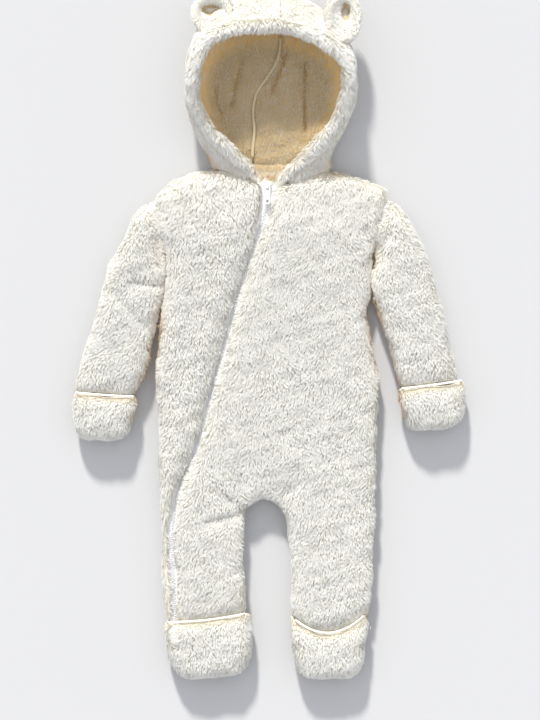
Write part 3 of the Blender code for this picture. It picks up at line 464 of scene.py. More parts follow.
def cloth_of(name, pile, creased=True, rounds=8, coarse=1.0):
    """The node's surface as cloth: where its pile ends, and where the knit under the pile lies."""
    fleece = bpy.context.scene.onesie_fleece
    points, faces = remeshed(name, fleece.grid * coarse)
    pairs = edge_pairs(faces)
    open_face = open_faces(name, points, faces)
    open_point, all_open = np.zeros(len(points)), np.ones(len(points))
    for k in range(3):
        np.maximum.at(open_point, faces[:, k], open_face)
        np.minimum.at(all_open, faces[:, k], open_face)
    free = relaxed(all_open, pairs, 4) * open_point
    points = points + (relaxed(points, pairs, rounds) - points) * np.clip(1.6 * free, 0, 1)[:, None]
    normals = normals_of(points, faces, open_face + 1e-4)
    facing_up, facing_down = np.clip(normals[:, 2], 0, 1), np.clip(-normals[:, 2], 0, 1)
    relief = RELIEF * waves(points) + FINE_RELIEF * waves(points[:, [1, 0, 2]] + 0.4, 0.45)
    if creased:
        relief = relief - crease_depth(points, CREASES) * facing_up
    relief = relief * np.clip(points[:, 2] / FLAT_UNDER, 0, 1)
    relief = (relief - crease_depth(points, HIDDEN_CREASES) * facing_down) * open_point
    if name in CUPS:
        relief = -CUPS[name].depth * MM * in_cup(CUPS[name], points) * facing_up
    outer = points + normals * relief[:, None]
    # The knit rises to the pile's height at seams, the zip and the hems, where the pile is thin or flat.
    deep = free * (1 - 0.8 * near_zip(points)) * (1 - 0.5 * near_seam(points))
    inset = outer - normals * (pile * deep)[:, None]
    outer[:, 2] = np.maximum(outer[:, 2], LOWEST_PILE)
    inset[:, 2] = np.maximum(inset[:, 2], LOWEST_KNIT)
    return Cloth(outer, inset, normals, faces, open_face)


def knit_tube(cloth):
    """The seen part of a tube's cloth, which is open where it goes under another piece."""
    faces = cloth.faces[cloth.seen > 0]
    used, index = np.unique(faces, return_inverse=True)
    return cloth.inset[used], index.reshape(-1, 3)


# ---------------------------------------------------------------- pile

ZIP_LINE = (
    (-2, 200), (-4, 171), (-9, 150), (-19, 120), (-32, 84), (-43, 47), (-54, 8), (-63, -28), (-72, -57),
    (-80, -89), (-90, -128), (-103, -163), (-115, -190), (-123, -220), (-127, -252), (-127, -291),
    (-124, -330), (-122, -397),
)
# Seams that the pile lies over: both armholes and the neck.
SOFT_SEAMS = (
    ((-153, 172), (-146, 146), (-139, 118), (-137, 84), (-139, 44)),
    ((153, 172), (145, 150), (138, 118)),
    ((-32, 223), (32, 223)),
)
# Parts of the zip that the pile closes over, as places in ZIP_LINE.
CLOSED = (slice(2, 4), slice(5, 8), slice(11, 13), slice(14, 18))
TAB_END = 158 * MM  # Above this the pile keeps its length, clear of the pull tab.
SEAM_REACH = 13 * MM  # How far from a seam or the zip its pull is felt.
MOST_LOCKS = 99000
LOWEST_LOCK = 0.25 * MM
SPREAD = 0.45  # How far the locks turn from the nap, in radians.
TUFT_STRETCH = 0.45
TUFT_RISE, LOCK_RISE = 0.09, 0.1
BOW = 0.22  # How high a lock bows at its middle, as a share of the pile.
ROLL = 0.8  # How far a lock turns on its own length, in radians.
BLADE_SHARE = 0.25
HEM_BAND = 8.5 * MM  # How far below a hem its pile is pressed flat.
HEM_TURN = 4.5 * MM  # The same above it.

Hem = namedtuple("Hem", "x0 y0 x1 y1 sag")
HEMS = {
    "mitt_right": Hem(-258, -71, -168, -77, 1),
    "mitt_left": Hem(257, -55, 165, -67, 1),
    "foot_right": Hem(-142, -370, -23, -357, 4),
    "foot_left": Hem(130, -355, 27, -361, 26),
}


def hem_line(hem, steps=25):
    """The hem's line in plan, sagging towards the toes or fingers."""
    share = np.linspace(0, 1, steps)
    x = hem.x0 + (hem.x1 - hem.x0) * share
    y = hem.y0 + (hem.y1 - hem.y0) * share - hem.sag * (1 - (2 * share - 1) ** 2)
    return np.stack([x, y], axis=1) * MM


# Low places along the sides and the neck, where warm light bounced between the layers is painted on the pile.
PAINTED_WARM_LIGHT_LINES = (
    ((-152, 120), (-152, 67), (-145, -5), (-155, -57), (-168, -100)),
    ((131, 145), (137, -11), (170, -89)),
    ((-76, 243), (-58, 222)),
    ((56, 235), (84, 212)),
)


def from_any(points, lines):
    """Distance in plan of points from the nearest of some lines in millimetres."""
    return np.min([from_line(points, np.array(line) * MM) for line in lines], axis=0)


def near_zip(points, band=4.5 * MM):
    """How close points lie to the zip, from 0 to 1."""
    return 1 - smooth_step(from_line(points, np.array(ZIP_LINE) * MM) / band - 0.5)


def near_seam(points):
    """How much the pile is pressed flat, from 0 to 1, along the hems."""
    pressed = np.zeros(len(points))
    for hem in HEMS.values():
        line = hem_line(hem)
        mid_y = np.interp(points[:, 0], *(line[np.argsort(line[:, 0])].T))
        band = np.where(points[:, 1] < mid_y, HEM_BAND, HEM_TURN)
        pressed = np.maximum(pressed, 1 - smooth_step((from_line(points, line) / band - 0.55) / 0.6))
    return pressed


def on_shoulders(points):
    """How smoothly the pile is brushed, from 0 to 1, towards the shoulders' edge under the hood; it also
    thins the dark fibres there as a painted highlight.
    """
    on_top = (points[:, 1] < 215 * MM) & (points[:, 2] > 12 * MM)
    return smooth_step((points[:, 1] - 120 * MM) / (55 * MM)) * on_top


def turned(direction, normal, angle):
    """Directions turned about their normals."""
    side = np.cross(normal, direction)
    return direction * np.cos(angle)[:, None] + side * np.sin(angle)[:, None]


def scatter(share, random):
    """Random places on the cloth, as many on each face as its share: their faces, and where in each."""
    count = min(int(share.sum()), MOST_LOCKS)
    face = np.searchsorted(np.cumsum(share) / share.sum(), random.random(count))
    face = np.minimum(face, len(share) - 1)
    u, v = random.random(count), random.random(count)
    over = u + v > 1
    u[over], v[over] = 1 - u[over], 1 - v[over]
    return face, np.stack([1 - u - v, u, v], axis=1)[..., None]


def tufts_of(top, area, spacing, random):
    """The lock in the middle of each tuft, and each lock's tuft. Tufts are longer along the body."""
    wanted = max(int(area / spacing**2 * TUFT_STRETCH), 8)
    middle = random.choice(len(top), min(wanted, len(top)), replace=False)
    tree = KDTree(len(middle))
    squeezed = top * (1, TUFT_STRETCH, 1)
    for i, place in enumerate(squeezed[middle]):
        tree.insert(place, i)
    tree.balance()
    return middle, np.array([tree.find(place)[1] for place in squeezed])


def lock_colours(top, normal, pressed, shade, glow):
    """For the four points of each lock: how dark it is, how near its tip, and how much painted warm light and
    shade it takes.
    """
    steep = np.clip(1.2 - np.abs(normal[:, 2]), 0, 1)
    # Painted warm light: steep low sides near these lines are tinted warm, standing in for light bounced
    # between and passed through the layers.
    low = 1.3 * smooth_step(1.7 - from_any(top, PAINTED_WARM_LIGHT_LINES) / (12 * MM)) * steep
    low *= np.clip(1.15 - top[:, 2] / (26 * MM), 0, 1)
    painted_rim_glow = 0.0
    # Painted glow inside the hood near its face opening, standing in for light that passes through the band.
    if glow:
        painted_rim_glow = 1 - smooth_step(from_line(top, np.array(FACE + FACE[:1]) * MM) / (26 * MM) - 0.1)
        painted_rim_glow *= smooth_step((top[:, 1] - 232 * MM) / (60 * MM))
        # Painted shade: the darker fibres' colour is laid along the lining's folds.
        shade = np.maximum(shade, 1 - smooth_step(from_any(top, FOLDS_WITH_PAINTED_SHADE) / (5 * MM)))
    lock = np.ones((len(top), 4, 4))
    lock[..., 0] = shade[:, None]
    lock[..., 1] = (0.0, 0.75, 0.75, 1.0)
    # Blue is painted light and shade: painted shade along the hems where the pile is pressed, painted bounced
    # light in low places, and painted glow on the hood's walls and by its face opening.
    lock[..., 2] = np.clip(pressed * 0.22 + low + glow * steep + painted_rim_glow, 0, 1)[:, None]
    return lock


def grow_pile(name, cloth, weight, nap, material, pile, lean, seed, wide=1.0, glow=0.0):
    """Locks of fibres over the seen cloth, joined in one mesh.

    Weight is the locks on each square millimetre of each face, nap gives the way that they lie, and glow
    sets a painted glow on the ones that light shines through, with painted shade along the lining's folds.
    """
    fleece = bpy.context.scene.onesie_fleece
    random = np.random.default_rng(SEED + seed)
    area = np.linalg.norm(crosses(cloth.inset, cloth.faces), axis=1) / 2
    face, bary = scatter(area / MM**2 * cloth.seen * weight, random)
    count = len(face)

    def at(values):
        return (values[cloth.faces[face]] * bary).sum(1)

    root, top, normal = at(cloth.inset), at(cloth.outer), at(cloth.normals)
    normal = unit(normal)
    way = nap(top)
    way = unit(way - normal * (way * normal).sum(1, keepdims=True))
    swirl = 1.2 * waves(top, 1.5) + 0.35 * waves(top[:, [1, 0, 2]] + 0.2, 0.6)
    way = turned(way, normal, SPREAD * swirl)

    # A lock leans as its tuft does, and its tip is drawn to the tuft's own.
    middle, tuft = tufts_of(top, area[cloth.seen > 0].sum(), fleece.tuft, random)
    tuft_turn = random.normal(0, SPREAD * 0.4, len(middle))
    tuft_lean = random.uniform(0.8, 1.15, len(middle))
    tuft_high = random.normal(0, TUFT_RISE, len(middle))
    tuft_tone = random.random(len(middle))
    pressed = near_seam(top)
    way = turned(way, normal, tuft_turn[tuft] + random.normal(0, 0.16, count))
    brushed = on_shoulders(top)
    reach = lean * tuft_lean[tuft] * random.uniform(0.75, 1.25, count)
    over_zip = near_zip(top, 8 * MM) * (top[:, 1] < TAB_END)
    reach *= (1 - 0.55 * pressed) * (1 + 0.25 * brushed) * (1 + 0.35 * over_zip)
    rough = (1 - pressed) * (1 - 0.65 * brushed)
    uneven = tuft_high[tuft] + random.normal(0, LOCK_RISE, count)
    rise = pile * uneven * 0.8 * rough - 0.04 * pile * pressed
    tip = top + way * reach[:, None] + normal * rise[:, None]
    tip += (tip[middle][tuft] - tip) * random.uniform(0.1, 0.4, count)[:, None]
    mid = root + (tip - root) * 0.5 + normal * (BOW * pile * (1 - pressed))[:, None]
    side = np.cross(normal, way)
    roll = random.uniform(-ROLL, ROLL, count)
    side = side * np.cos(roll)[:, None] + normal * np.sin(roll)[:, None]
    half = fleece.lock_wide / 2 * random.uniform(0.6, 1.4, count) * wide
    quads = np.stack([root, mid - side * half[:, None], mid + side * half[:, None], tip], axis=1)
    quads[..., 2] = np.maximum(quads[..., 2], LOWEST_LOCK)
    facing = unit(np.cross(quads[:, 2] - quads[:, 0], quads[:, 1] - quads[:, 0]))
    turned_away = (facing * normal).sum(1) < 0
    quads[turned_away] = quads[turned_away][:, [0, 2, 1, 3]]
    facing[turned_away] *= -1
    index = np.arange(count)[:, None] * 4
    faces = np.concatenate([index + [0, 2, 1], index + [1, 2, 3]], axis=1).reshape(-1, 3)
    made = new_object(name, quads.reshape(-1, 3), faces, material)
    # Fibres scatter light as a whole, so a lock is shaded mostly as the cloth is and a little as a blade.
    soft = unit(normal * (1 - BLADE_SHARE) + facing * BLADE_SHARE)
    made.data.normals_split_custom_set_from_vertices(np.repeat(soft, 4, axis=0).tolist())
    shade = np.clip(0.45 * tuft_tone[tuft] ** 2 + 0.45 * random.random(count) ** 3, 0, 1)
    # Fewer dark fibres on the shoulders: the brushed pile, and a painted highlight where the light falls on
    # them.
    shade *= (1 - 0.6 * pressed) * (1 - 0.6 * brushed) * (0.5 if glow else 1.0)
    lock = lock_colours(top, normal, pressed, shade, glow)
    made.data.attributes.new("lock", "FLOAT_COLOR", "POINT").data.foreach_set("color", lock.ravel())
    return dress(made)


def nap_down(x_lean):
    """The pile runs down the garment, and lies over the edges of the zip's opening and some seams."""
    pulls = [(ZIP_LINE, 1.2), (ZIP_LINE[2:], 1.2)]
    pulls += [(ZIP_LINE[part], 2.2) for part in CLOSED]
    pulls += [(seam, 2.6) for seam in SOFT_SEAMS]

    def nap(points):
        way = np.tile(np.array([x_lean, -1.0, -0.35]), (len(points), 1))
        for line, strength in pulls:
            across = to_line(points, np.array(line) * MM)
            apart = np.linalg.norm(across, axis=1)
            pull = strength * (1 - smooth_step(apart / SEAM_REACH)) / np.maximum(apart, 0.001 * MM)
            way[:, :2] += across * pull[:, None]
        return unit(way)

    return nap


def nap_round_face(points):
    """On the hood's band, the pile hangs over the brow and lies outwards beside the face."""
    outwards = unit(points - np.array([0, 310, 40]) * MM)
    return unit(outwards * 0.5 + np.array([0, -1, -0.2]))


Cup = namedtuple("Cup", "x y half_x half_y depth")
CUPS = {"ear_right": Cup(-74, 424, 15, 10, 9), "ear_left": Cup(97, 421, 8, 15, 9)}


def in_cup(cup, points):
    """How deep points lie in an ear's hollow, seen in plan: 1 at its middle and 0 from its lip outwards."""
    away = np.hypot((points[:, 0] / MM - cup.x) / cup.half_x, (points[:, 1] / MM - cup.y) / cup.half_y)
    return 1 - smooth_step(away - 0.2)


def dress(piece, *nodes):
    """Fixes a fleece piece to the garment. It is shown in place of the nodes."""
    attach(piece, "garment")
    if nodes:
        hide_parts(*nodes)
    return piece


def weight_of(cloth, top, side, under):
    """Locks on a square millimetre of each face, by which way it looks."""
    up = unit(crosses(cloth.outer, cloth.faces))[:, 2]
    return np.where(up > 0.25, top, np.where(up > -0.6, side, under))


# The rectangle that a piece is cut from, in metres, and the area of the cut, in square metres.
Cut = namedtuple("Cut", "wide long area")
PANELS = {
    "front_right": Cut(0.16, 0.64, 0.046),
    "front_left": Cut(0.30, 0.64, 0.130),
    "back": Cut(0.33, 0.64, 0.176),
}


def panel_piles(name, cloth):
    """The piles of a body panel by name, each with the faces that it grows on."""
    middle = cloth.outer[cloth.faces].mean(1)
    at_neck = in_outline(middle, FACE)
    if name == "back":
        # The back seen through the hood's opening grows the inner pile, painted tan as shade with a little
        # painted glow.
        return {"pile": ~at_neck, "lining": at_neck}
    if name == "front_right":
        return {"pile": ~at_neck}
    upper = middle[:, 1] > -30 * MM
    return {"upper_pile": upper & ~at_neck, "lower_pile": ~upper}


class ONESIE_OT_body(bpy.types.Operator):
    """Front and back panels with their pile"""

    bl_idname = "onesie.body"
    bl_label = "Body panels"

    def execute(self, context):
        fleece = context.scene.onesie_fleece
        for i, (name, cut) in enumerate(PANELS.items()):
            back = name == "back"
            cloth = cloth_of(name, fleece.pile, coarse=1.5 if back else 1.0)
            knit = dress(new_object(f"{name}_knit", cloth.inset, cloth.faces, "fleece knit"), name)
            weight = weight_of(cloth, fleece.density, 1.0, 0.3)
            for k, (part, share) in enumerate(panel_piles(name, cloth).items()):
                lining = part == "lining"
                grow_pile(
                        f"{name}_{part}",
                        cloth,
                        weight * share,
                        nap_down(-0.15),
                        "inner fleece pile" if lining else "fleece pile",
                        fleece.pile,
                        fleece.lean,
                        2 * i + k,
                        wide=1.7 if back and not lining else 1.0,
                        glow=0.1 if lining else 0.0,
                    )
        return {"FINISHED"}


# Each tube's cut, and how far its nap leans sideways.
Tube = namedtuple("Tube", "cut lean")
TUBES = {
    "sleeve_right": Tube(Cut(0.25, 0.27, 0.040), -0.35),
    "sleeve_left": Tube(Cut(0.25, 0.27, 0.039), 0.35),
    "mitt_right": Tube(Cut(0.2, 0.09, 0.0145), -0.1),
    "mitt_left": Tube(Cut(0.2, 0.09, 0.0150), 0.1),
    "foot_right": Tube(Cut(0.27, 0.11, 0.0230), 0.0),
    "foot_left": Tube(Cut(0.26, 0.10, 0.0200), 0.0),
}


class ONESIE_OT_limbs(bpy.types.Operator):
    """Sleeves, mitts and feet with their pile"""

    bl_idname = "onesie.limbs"
    bl_label = "Sleeves, mitts and feet"

    def execute(self, context):
        fleece = context.scene.onesie_fleece
        for i, (name, tube) in enumerate(TUBES.items()):
            cloth = cloth_of(name, fleece.pile, coarse=1.2)
            points, faces = knit_tube(cloth)
            points[:, 2] = np.maximum(points[:, 2], fleece.knit + 0.6 * MM)
            knit = dress(new_object(f"{name}_knit", points, faces, "fleece knit"), name)
            thick = knit.modifiers.new("knit", "SOLIDIFY")
            thick.thickness = fleece.knit
            thick.offset = -1
            weight = weight_of(cloth, 1.05, 1.0, 0.3)
            nap = nap_down(tube.lean)
            fur = grow_pile(
                f"{name}_pile", cloth, weight, nap, "fleece pile", fleece.pile, fleece.lean, 10 + i
            )
        return {"FINISHED"}


def drop(trees, x, y):
    """Height of the highest of the surfaces at a place, in metres, or None."""
    hits = [tree.ray_cast(Vector((x, y, 0.2)), Vector((0, 0, -1)))[0] for tree in trees]
    return max((hit.z for hit in hits if hit is not None), default=None)


def smooth_path(points, count):
    """A smooth path in plan through points in millimetres, as points in metres."""
    points = np.asarray(points, float) * MM
    at = np.concatenate([[0], np.cumsum(np.linalg.norm(np.diff(points, axis=0), axis=1))])
    even = np.linspace(0, at[-1], count)
    path = np.stack([np.interp(even, at, points[:, k]) for k in range(points.shape[1])], axis=1)
    for _ in range(6):
        path[1:-1] += 0.5 * ((path[:-2] + path[2:]) / 2 - path[1:-1])
    return path


def cord_mesh(name, path, wide, high, material, sides=8):
    """A flattened cord along a path, flat side up."""
    path = np.asarray(path, float)
    ahead = np.roll(path, -1, axis=0) - np.roll(path, 1, axis=0)
    ahead[0], ahead[-1] = path[1] - path[0], path[-1] - path[-2]
    ahead = unit(ahead)
    side = np.cross(ahead, (0, 0, 1))
    side[np.linalg.norm(side, axis=1) < 0.2] = (0, 1, 0)
    side = unit(side)
    up = np.cross(side, ahead)
    rings = []
    for turn in np.arange(sides) * 2 * math.pi / sides:
        rings.append(path + side * math.cos(turn) * wide / 2 + up * math.sin(turn) * high / 2)
    points = np.stack(rings, axis=1).reshape(-1, 3)
    faces = []
    for start in range(0, (len(path) - 1) * sides, sides):
        for k in range(sides):
            a, b = start + k, start + (k + 1) % sides
            faces += [(a, b, b + sides), (a, b + sides, a + sides)]
    last = (len(path) - 1) * sides
    for k in range(1, sides - 1):
        faces += [(0, k + 1, k), (last, last + k, last + k + 1)]
    return new_object(name, points, np.array(faces), material)


HEM_CORD = 2.8 * MM
# The cord lies this far past the hem's line, and this deep under the cloth just beyond it.
HEM_DOWN, HEM_SUNK, HEM_BEYOND = 1.3 * MM, 2.6 * MM, 3.0 * MM
HEM_TOP = 29 * MM  # The cord ends where the cloth curves down below this height.


class ONESIE_OT_hems(bpy.types.Operator):
    """Bound hems of the mitts and feet"""

    bl_idname = "onesie.hems"
    bl_label = "Hems"

    def execute(self, context):
        for name, hem in HEMS.items():
            path = []
            for x, y in hem_line(hem, 61):
                high = drop([tree_of(name)], x, y - HEM_BEYOND)
                if high is not None and high > HEM_TOP:
                    path.append(np.array((x, y - HEM_DOWN, high - HEM_SUNK)))
            first, last = path[0], path[-1]
            # Both ends go down into the cloth.
            out = np.array((np.sign(last[0] - first[0]) * 1.0 * MM, 0, -7 * MM))
            path = [first + out * (-1, 1, 1), *path, last + out]
            dress(cord_mesh(f"{name}_hem", path, HEM_CORD, HEM_CORD, "bound hem"))
        return {"FINISHED"}


HOOD = {
    "hood_right": Cut(0.17, 0.26, 0.034),
    "hood_left": Cut(0.17, 0.26, 0.035),
    "hood_rim": Cut(0.56, 0.026, 0.0135),
    "ear_right": Cut(0.05, 0.06, 0.0019),
    "ear_left": Cut(0.055, 0.07, 0.0032),
}

# The hood's opening in plan, the seam in its back, and the folds in its lining, along which shade is painted
# on the pile.
FACE = (
    (-16, 211), (-48, 239), (-85, 278), (-95, 303), (-98, 330), (-92, 359), (-68, 387), (-30, 400), (14, 401),
    (46, 391), (77, 375), (100, 350), (101, 327), (98, 304), (87, 276), (56, 243), (14, 206),
)
BACK_SEAM = (
    (-22, 234), (-22, 243), (-19, 268), (-22, 297), (-17, 320), (-2, 340), (9, 357), (14, 372), (15, 392),
)
FOLDS_WITH_PAINTED_SHADE = (
    ((47, 358), (46, 320), (47, 270)),
    ((24, 376), (14, 350), (4, 322)),
    ((-34, 362), (-42, 335), (-49, 304)),
    ((-70, 330), (-66, 300), (-58, 275)),
)
WELT_WIDE, WELT_HIGH = 4.0 * MM, 2.4 * MM
# A face that looks into the hood has a wall in front of it, between these two distances off.
NEAR_WALL, FAR_WALL = 22 * MM, 260 * MM


def in_outline(points, outline):
    """Which points lie inside a closed outline in plan."""
    outline = np.asarray(outline, float) * MM
    inside = np.zeros(len(points), bool)
    for (x0, y0), (x1, y1) in zip(outline, np.roll(outline, -1, axis=0)):
        spans = (y0 > points[:, 1]) != (y1 > points[:, 1])
        cross = x0 + (points[:, 1] - y0) / (y1 - y0 if y1 != y0 else 1e-9) * (x1 - x0)
        inside ^= spans & (points[:, 0] < cross)
    return inside


def inside_hood(cloth):
    """1 for faces that look into the hood's hollow, or up out of its face opening."""
    centre = cloth.outer[cloth.faces].mean(1)
    normal = unit(crosses(cloth.outer, cloth.faces))
    inner = in_outline(centre, FACE) & (normal[:, 2] > 0)
    trees = [tree_of(name) for name in ("hood_right", "hood_left", "hood_rim")]
    for i in np.flatnonzero(~inner):
        start, way = Vector(centre[i] + normal[i] * 3 * MM), Vector(normal[i])
        for tree in trees:
            reached = tree.ray_cast(start, way, FAR_WALL)[3]
            if reached is not None and reached > NEAR_WALL:
                inner[i] = True
    return inner.astype(float)


def hood_half_piles(name, cloth, fleece, i):
    """The piles inside and outside one half of the hood."""
    inner = inside_hood(cloth)
    within = cloth._replace(seen=cloth.seen * inner)
    without = cloth._replace(seen=cloth.seen * (1 - inner))
    nap, pile = nap_down(0), fleece.inner_pile
    weight = weight_of(without, 0.9, 0.8, 0.3)
    # The lining is painted tan as shade in the hollow, and its walls take a painted glow.
    return [
        grow_pile(f"{name}_lining", within, 0.9, nap, "inner fleece pile", pile, 4.5 * MM, 30 + i, glow=0.9),
        grow_pile(f"{name}_pile", without, weight, nap, "fleece pile", pile, fleece.lean, 20 + i),
    ]


def rim_pile(name, cloth, fleece, i, lean, cup=0.0):
    """The long pile of the hood's band or of an ear, but for the ear's cup."""
    weight, lean = weight_of(cloth, 1.5, 1.2, 0.5) * (1 - cup), fleece.lean * lean
    return grow_pile(
        f"{name}_pile", cloth, weight, nap_round_face, "fleece pile", fleece.pile, lean, 20 + i
    )


def ear_piles(name, cloth, fleece, i):
    """An ear's pile, and the shorter pile in its cup, painted tan for the cup's shade and with a painted
    glow.
    """
    middle = cloth.outer[cloth.faces].mean(1)
    cup = (in_cup(CUPS[name], middle) > 0.35) * (weight_of(cloth, 1.0, 0.0, 0.0) > 0)
    material, pile = "inner fleece pile", fleece.inner_pile
    return [
        rim_pile(name, cloth, fleece, i, 0.7, cup),
        grow_pile(
            f"{name}_lining", cloth, 1.2 * cup, nap_round_face, material, pile, 3.0 * MM, 40 + i, glow=0.9
        ),
    ]


class ONESIE_OT_hood(bpy.types.Operator):
    """Hood, its band and its ears, with their pile"""

    bl_idname = "onesie.hood"
    bl_label = "Hood and ears"

    def execute(self, context):
        fleece = context.scene.onesie_fleece
        for i, (name, cut) in enumerate(HOOD.items()):
            band, ear = name == "hood_rim", name in CUPS
            cloth = cloth_of(
                name,
                fleece.pile if band else fleece.inner_pile,
                creased=not (band or ear),
                rounds=2 if ear else 5,
                coarse=0.7 if ear else 1.0,
            )
            knit = dress(new_object(f"{name}_knit", cloth.inset, cloth.faces, "fleece knit"), name)
            if band:
                made = [rim_pile(name, cloth, fleece, i, 1.45)]
            elif ear:
                made = ear_piles(name, cloth, fleece, i)
            else:
                made = hood_half_piles(name, cloth, fleece, i)
        path = []
        for x, y in smooth_path(BACK_SEAM, 60):
            high = drop([tree_of("hood_right"), tree_of("hood_left")], x - 1.5 * MM, y)
            if high is not None:
                path.append((x, y, high - 0.2 * MM))
        dress(cord_mesh("hood_back_seam", path, WELT_WIDE, WELT_HIGH, "seam welt"))
        return {"FINISHED"}


# In millimetres, as ZIP_LINE is.
TOOTH_WIDE, TOOTH_TOP, TOOTH_SHIFT = 3.4, 17.6, 0.5
COIL_START_Y, COIL_END_Y = 186, -374
TOOTH_SIDES = 6
TOOTH_HALF = 0.62  # Half a tooth's height, as a share of its wire's thickness.


def coil_teeth(zips):
    """The closed coil: rounded bars across the zip, one from each side in turn."""
    line = np.array(ZIP_LINE, float)
    run = np.concatenate([[0], np.cumsum(np.linalg.norm(np.diff(line, axis=0), axis=1))])
    at = np.arange(0, run[-1], zips.pitch / MM)
    middle = np.stack([np.interp(at, run, line[:, k]) for k in range(2)], axis=1)
    ahead = np.gradient(middle, axis=0)
    keep = (middle[:, 1] < COIL_START_Y) & (middle[:, 1] > COIL_END_Y)
    middle, ahead = middle[keep], ahead[keep]
    ahead = unit(ahead)
    side = np.stack([-ahead[:, 1], ahead[:, 0]], axis=1)
    size = zips.tooth / MM * TOOTH_HALF
    points, faces = [], []
    for i, (here, way, over) in enumerate(zip(middle, ahead, side)):
        here = here + over * (TOOTH_SHIFT if i % 2 else -TOOTH_SHIFT)
        first = len(points)
        last = first + TOOTH_SIDES
        for end in (-1, 1):
            for turn in range(TOOTH_SIDES):
                angle = 2 * math.pi * turn / TOOTH_SIDES
                flat = here + over * end * TOOTH_WIDE / 2 + way * math.cos(angle) * size
                points.append((*flat, TOOTH_TOP - size + math.sin(angle) * size))
        for turn in range(TOOTH_SIDES):
            a, b = first + turn, first + (turn + 1) % TOOTH_SIDES
            faces += [(a, b, b + TOOTH_SIDES), (a, b + TOOTH_SIDES, a + TOOTH_SIDES)]
        for turn in range(1, TOOTH_SIDES - 1):
            faces += [(first, first + turn + 1, first + turn), (last, last + turn, last + turn + 1)]
    return new_object("zip_coil", np.array(points) * MM, np.array(faces), "nylon coil")


ZIP_PARTS = {
    "zip_tape_right": "woven zip tape",
    "zip_tape_left": "woven zip tape",
    "zip_slider": "stoved enamel",
    "pull_tab": "stoved enamel",
}


class ONESIE_OT_zip(bpy.types.Operator):
    """Zip tapes, slider and pull tab"""

    bl_idname = "onesie.zip"
    bl_label = "Zip"

    def execute(self, context):
        for name, material in ZIP_PARTS.items():
            NODES[name].data.materials.clear()
            NODES[name].data.materials.append(bpy.data.materials[material])
        teeth = coil_teeth(context.scene.onesie_zip)
        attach(teeth, "garment")
        return {"FINISHED"}


class ONESIE_OT_materials(bpy.types.Operator):
    """Materials of the fleece and the zip"""

    bl_idname = "onesie.materials"
    bl_label = "Materials"

    def execute(self, context):
        fleece, zips = context.scene.onesie_fleece, context.scene.onesie_zip
        # Cream sheared pile: soft bright tips over warmer roots, with painted shade along the hems and
        # painted warm light in low places by the sides and neck.
        pile_material("fleece pile", fleece.tip, fleece.root, fleece.shade, fleece.warm)
        # The fleece's inner face: painted tan for the shade in the hood, and painted gold where light shines
        # through its walls.
        pile_material(
            "inner fleece pile", fleece.inner_tip, fleece.inner_root, fleece.inner_shade, fleece.inner_warm
        )
        # Knitted tape, folded over the raw edge: a smooth cream line between two furs.
        bumpy_material("bound hem", fleece.hem, fleece.tip, 0.8, 0.6, 0.1 * MM)
        # Fleece shorn short along the seam: a dull raised line, in a dark tan that is partly painted shade of
        # the hood's hollow.
        bumpy_material("seam welt", fleece.welt, fleece.inner_tip, 1.5, 0.8, 0.4 * MM)
        # Knitted polyester under the pile, which lets much light through.
        bumpy_material("fleece knit", fleece.root, fleece.tip, 2.0, 0.9, 0.5 * MM, through=0.5)
        # Woven polyester tape: flat white with a fine weave.
        bumpy_material("woven zip tape", zips.tape, zips.coil, 0.6, 0.8, 0.15 * MM)
        # Moulded nylon: small white bars with a soft shine.
        bumpy_material("nylon coil", zips.coil, zips.tape, 0.5, 0.35, 0.01 * MM, specular=0.5)
        # Stoved enamel on cast zinc: smooth white with a clear shine.
        bumpy_material("stoved enamel", zips.enamel, zips.tape, 0.5, 0.28, 0.01 * MM, specular=0.5)
        return {"FINISHED"}


# The photograph's size and the middle of the garment in it, in pixels.
PHOTO_WIDE, PHOTO_HIGH = 540, 720
PHOTO_MIDDLE_X, PHOTO_MIDDLE_Y = 269.25, 336.5
GARMENT_TOP = 30 * MM  # The camera's distance is measured from here.
FILM = 36.0  # In millimetres, along the longer side of the picture.
FLOOR_HALF = 4.0
SUN_SOFT = math.radians(5.5)  # The light's own width, which softens the shadows' edges.


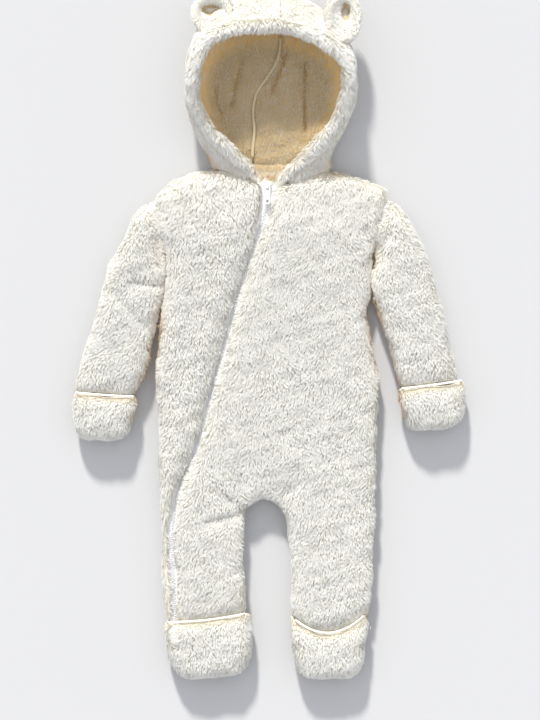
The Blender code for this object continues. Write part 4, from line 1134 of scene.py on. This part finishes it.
class ONESIE_OT_stage(bpy.types.Operator):
    """Floor, light and camera"""

    bl_idname = "onesie.stage"
    bl_label = "Stage"

    def execute(self, context):
        stage = context.scene.onesie_stage
        corners = np.array([(-1, -1, 0), (1, -1, 0), (1, 1, 0), (-1, 1, 0)]) * FLOOR_HALF
        # Matt painted board takes a soft shadow and gives no shine.
        plain_material("matt painted board", stage.floor, 0.9)
        floor = new_object("floor", corners, np.array([(0, 1, 2, 3)]), "matt painted board")
        lamp = bpy.data.lights.new("sun", "SUN")
        lamp.energy = stage.sun_power
        lamp.angle = SUN_SOFT
        lamp.color = stage.sun_colour
        sun = bpy.data.objects.new("sun", lamp)
        turn, high = stage.sun_turn, stage.sun_high
        flat = math.cos(high)
        towards = Vector((-math.sin(turn) * flat, math.cos(turn) * flat, math.sin(high)))
        sun.rotation_euler = towards.to_track_quat("Z", "Y").to_euler()
        context.scene.collection.objects.link(sun)
        world = bpy.data.worlds.new("room")
        world.use_nodes = True
        back = world.node_tree.nodes["Background"]
        back.inputs["Color"].default_value = opaque(stage.fill_colour)
        back.inputs["Strength"].default_value = stage.fill_power
        context.scene.world = world
        context.scene.view_settings.view_transform = "Standard"

        centre = Vector((PHOTO_WIDE / 2 - PHOTO_MIDDLE_X, PHOTO_MIDDLE_Y - PHOTO_HIGH / 2, 0)) * stage.scale
        data = bpy.data.cameras.new("camera")
        data.lens = FILM * stage.distance / (PHOTO_HIGH * stage.scale)
        data.clip_end = 20
        camera = bpy.data.objects.new("camera", data)
        camera.location = centre + Vector((0, 0, stage.distance + GARMENT_TOP))
        context.scene.collection.objects.link(camera)
        context.scene.camera = camera
        return {"FINISHED"}


class ONESIE_PT_panel(bpy.types.Panel):
    """Lists the onesie's pieces"""

    bl_idname = "ONESIE_PT_panel"
    bl_label = "Onesie"
    bl_space_type = "VIEW_3D"
    bl_region_type = "UI"
    bl_category = "Onesie"

    def draw(self, context):
        for step in STEPS:
            self.layout.operator(step.bl_idname)


STEPS = (
    ONESIE_OT_stage,
    ONESIE_OT_materials,
    ONESIE_OT_body,
    ONESIE_OT_limbs,
    ONESIE_OT_hood,
    ONESIE_OT_hems,
    ONESIE_OT_zip,
)
SETTINGS = {"onesie_fleece": FleeceSettings, "onesie_zip": ZipSettings, "onesie_stage": StageSettings}
CLASSES = (*SETTINGS.values(), *STEPS, ONESIE_PT_panel)


def register():
    """Adds the settings, operators and panel."""
    for made in CLASSES:
        bpy.utils.register_class(made)
    for name, settings in SETTINGS.items():
        setattr(bpy.types.Scene, name, PointerProperty(type=settings))


def unregister():
    """Takes the settings, operators and panel out again."""
    for name in SETTINGS:
        delattr(bpy.types.Scene, name)
    for made in reversed(CLASSES):
        bpy.utils.unregister_class(made)


def main():
    """Builds every piece and the stage."""
    register()
    bpy.ops.onesie.stage()
    bpy.ops.onesie.materials()
    bpy.ops.onesie.body()
    bpy.ops.onesie.limbs()
    bpy.ops.onesie.hood()
    bpy.ops.onesie.hems()
    bpy.ops.onesie.zip()


if __name__ == "__main__":
    main()
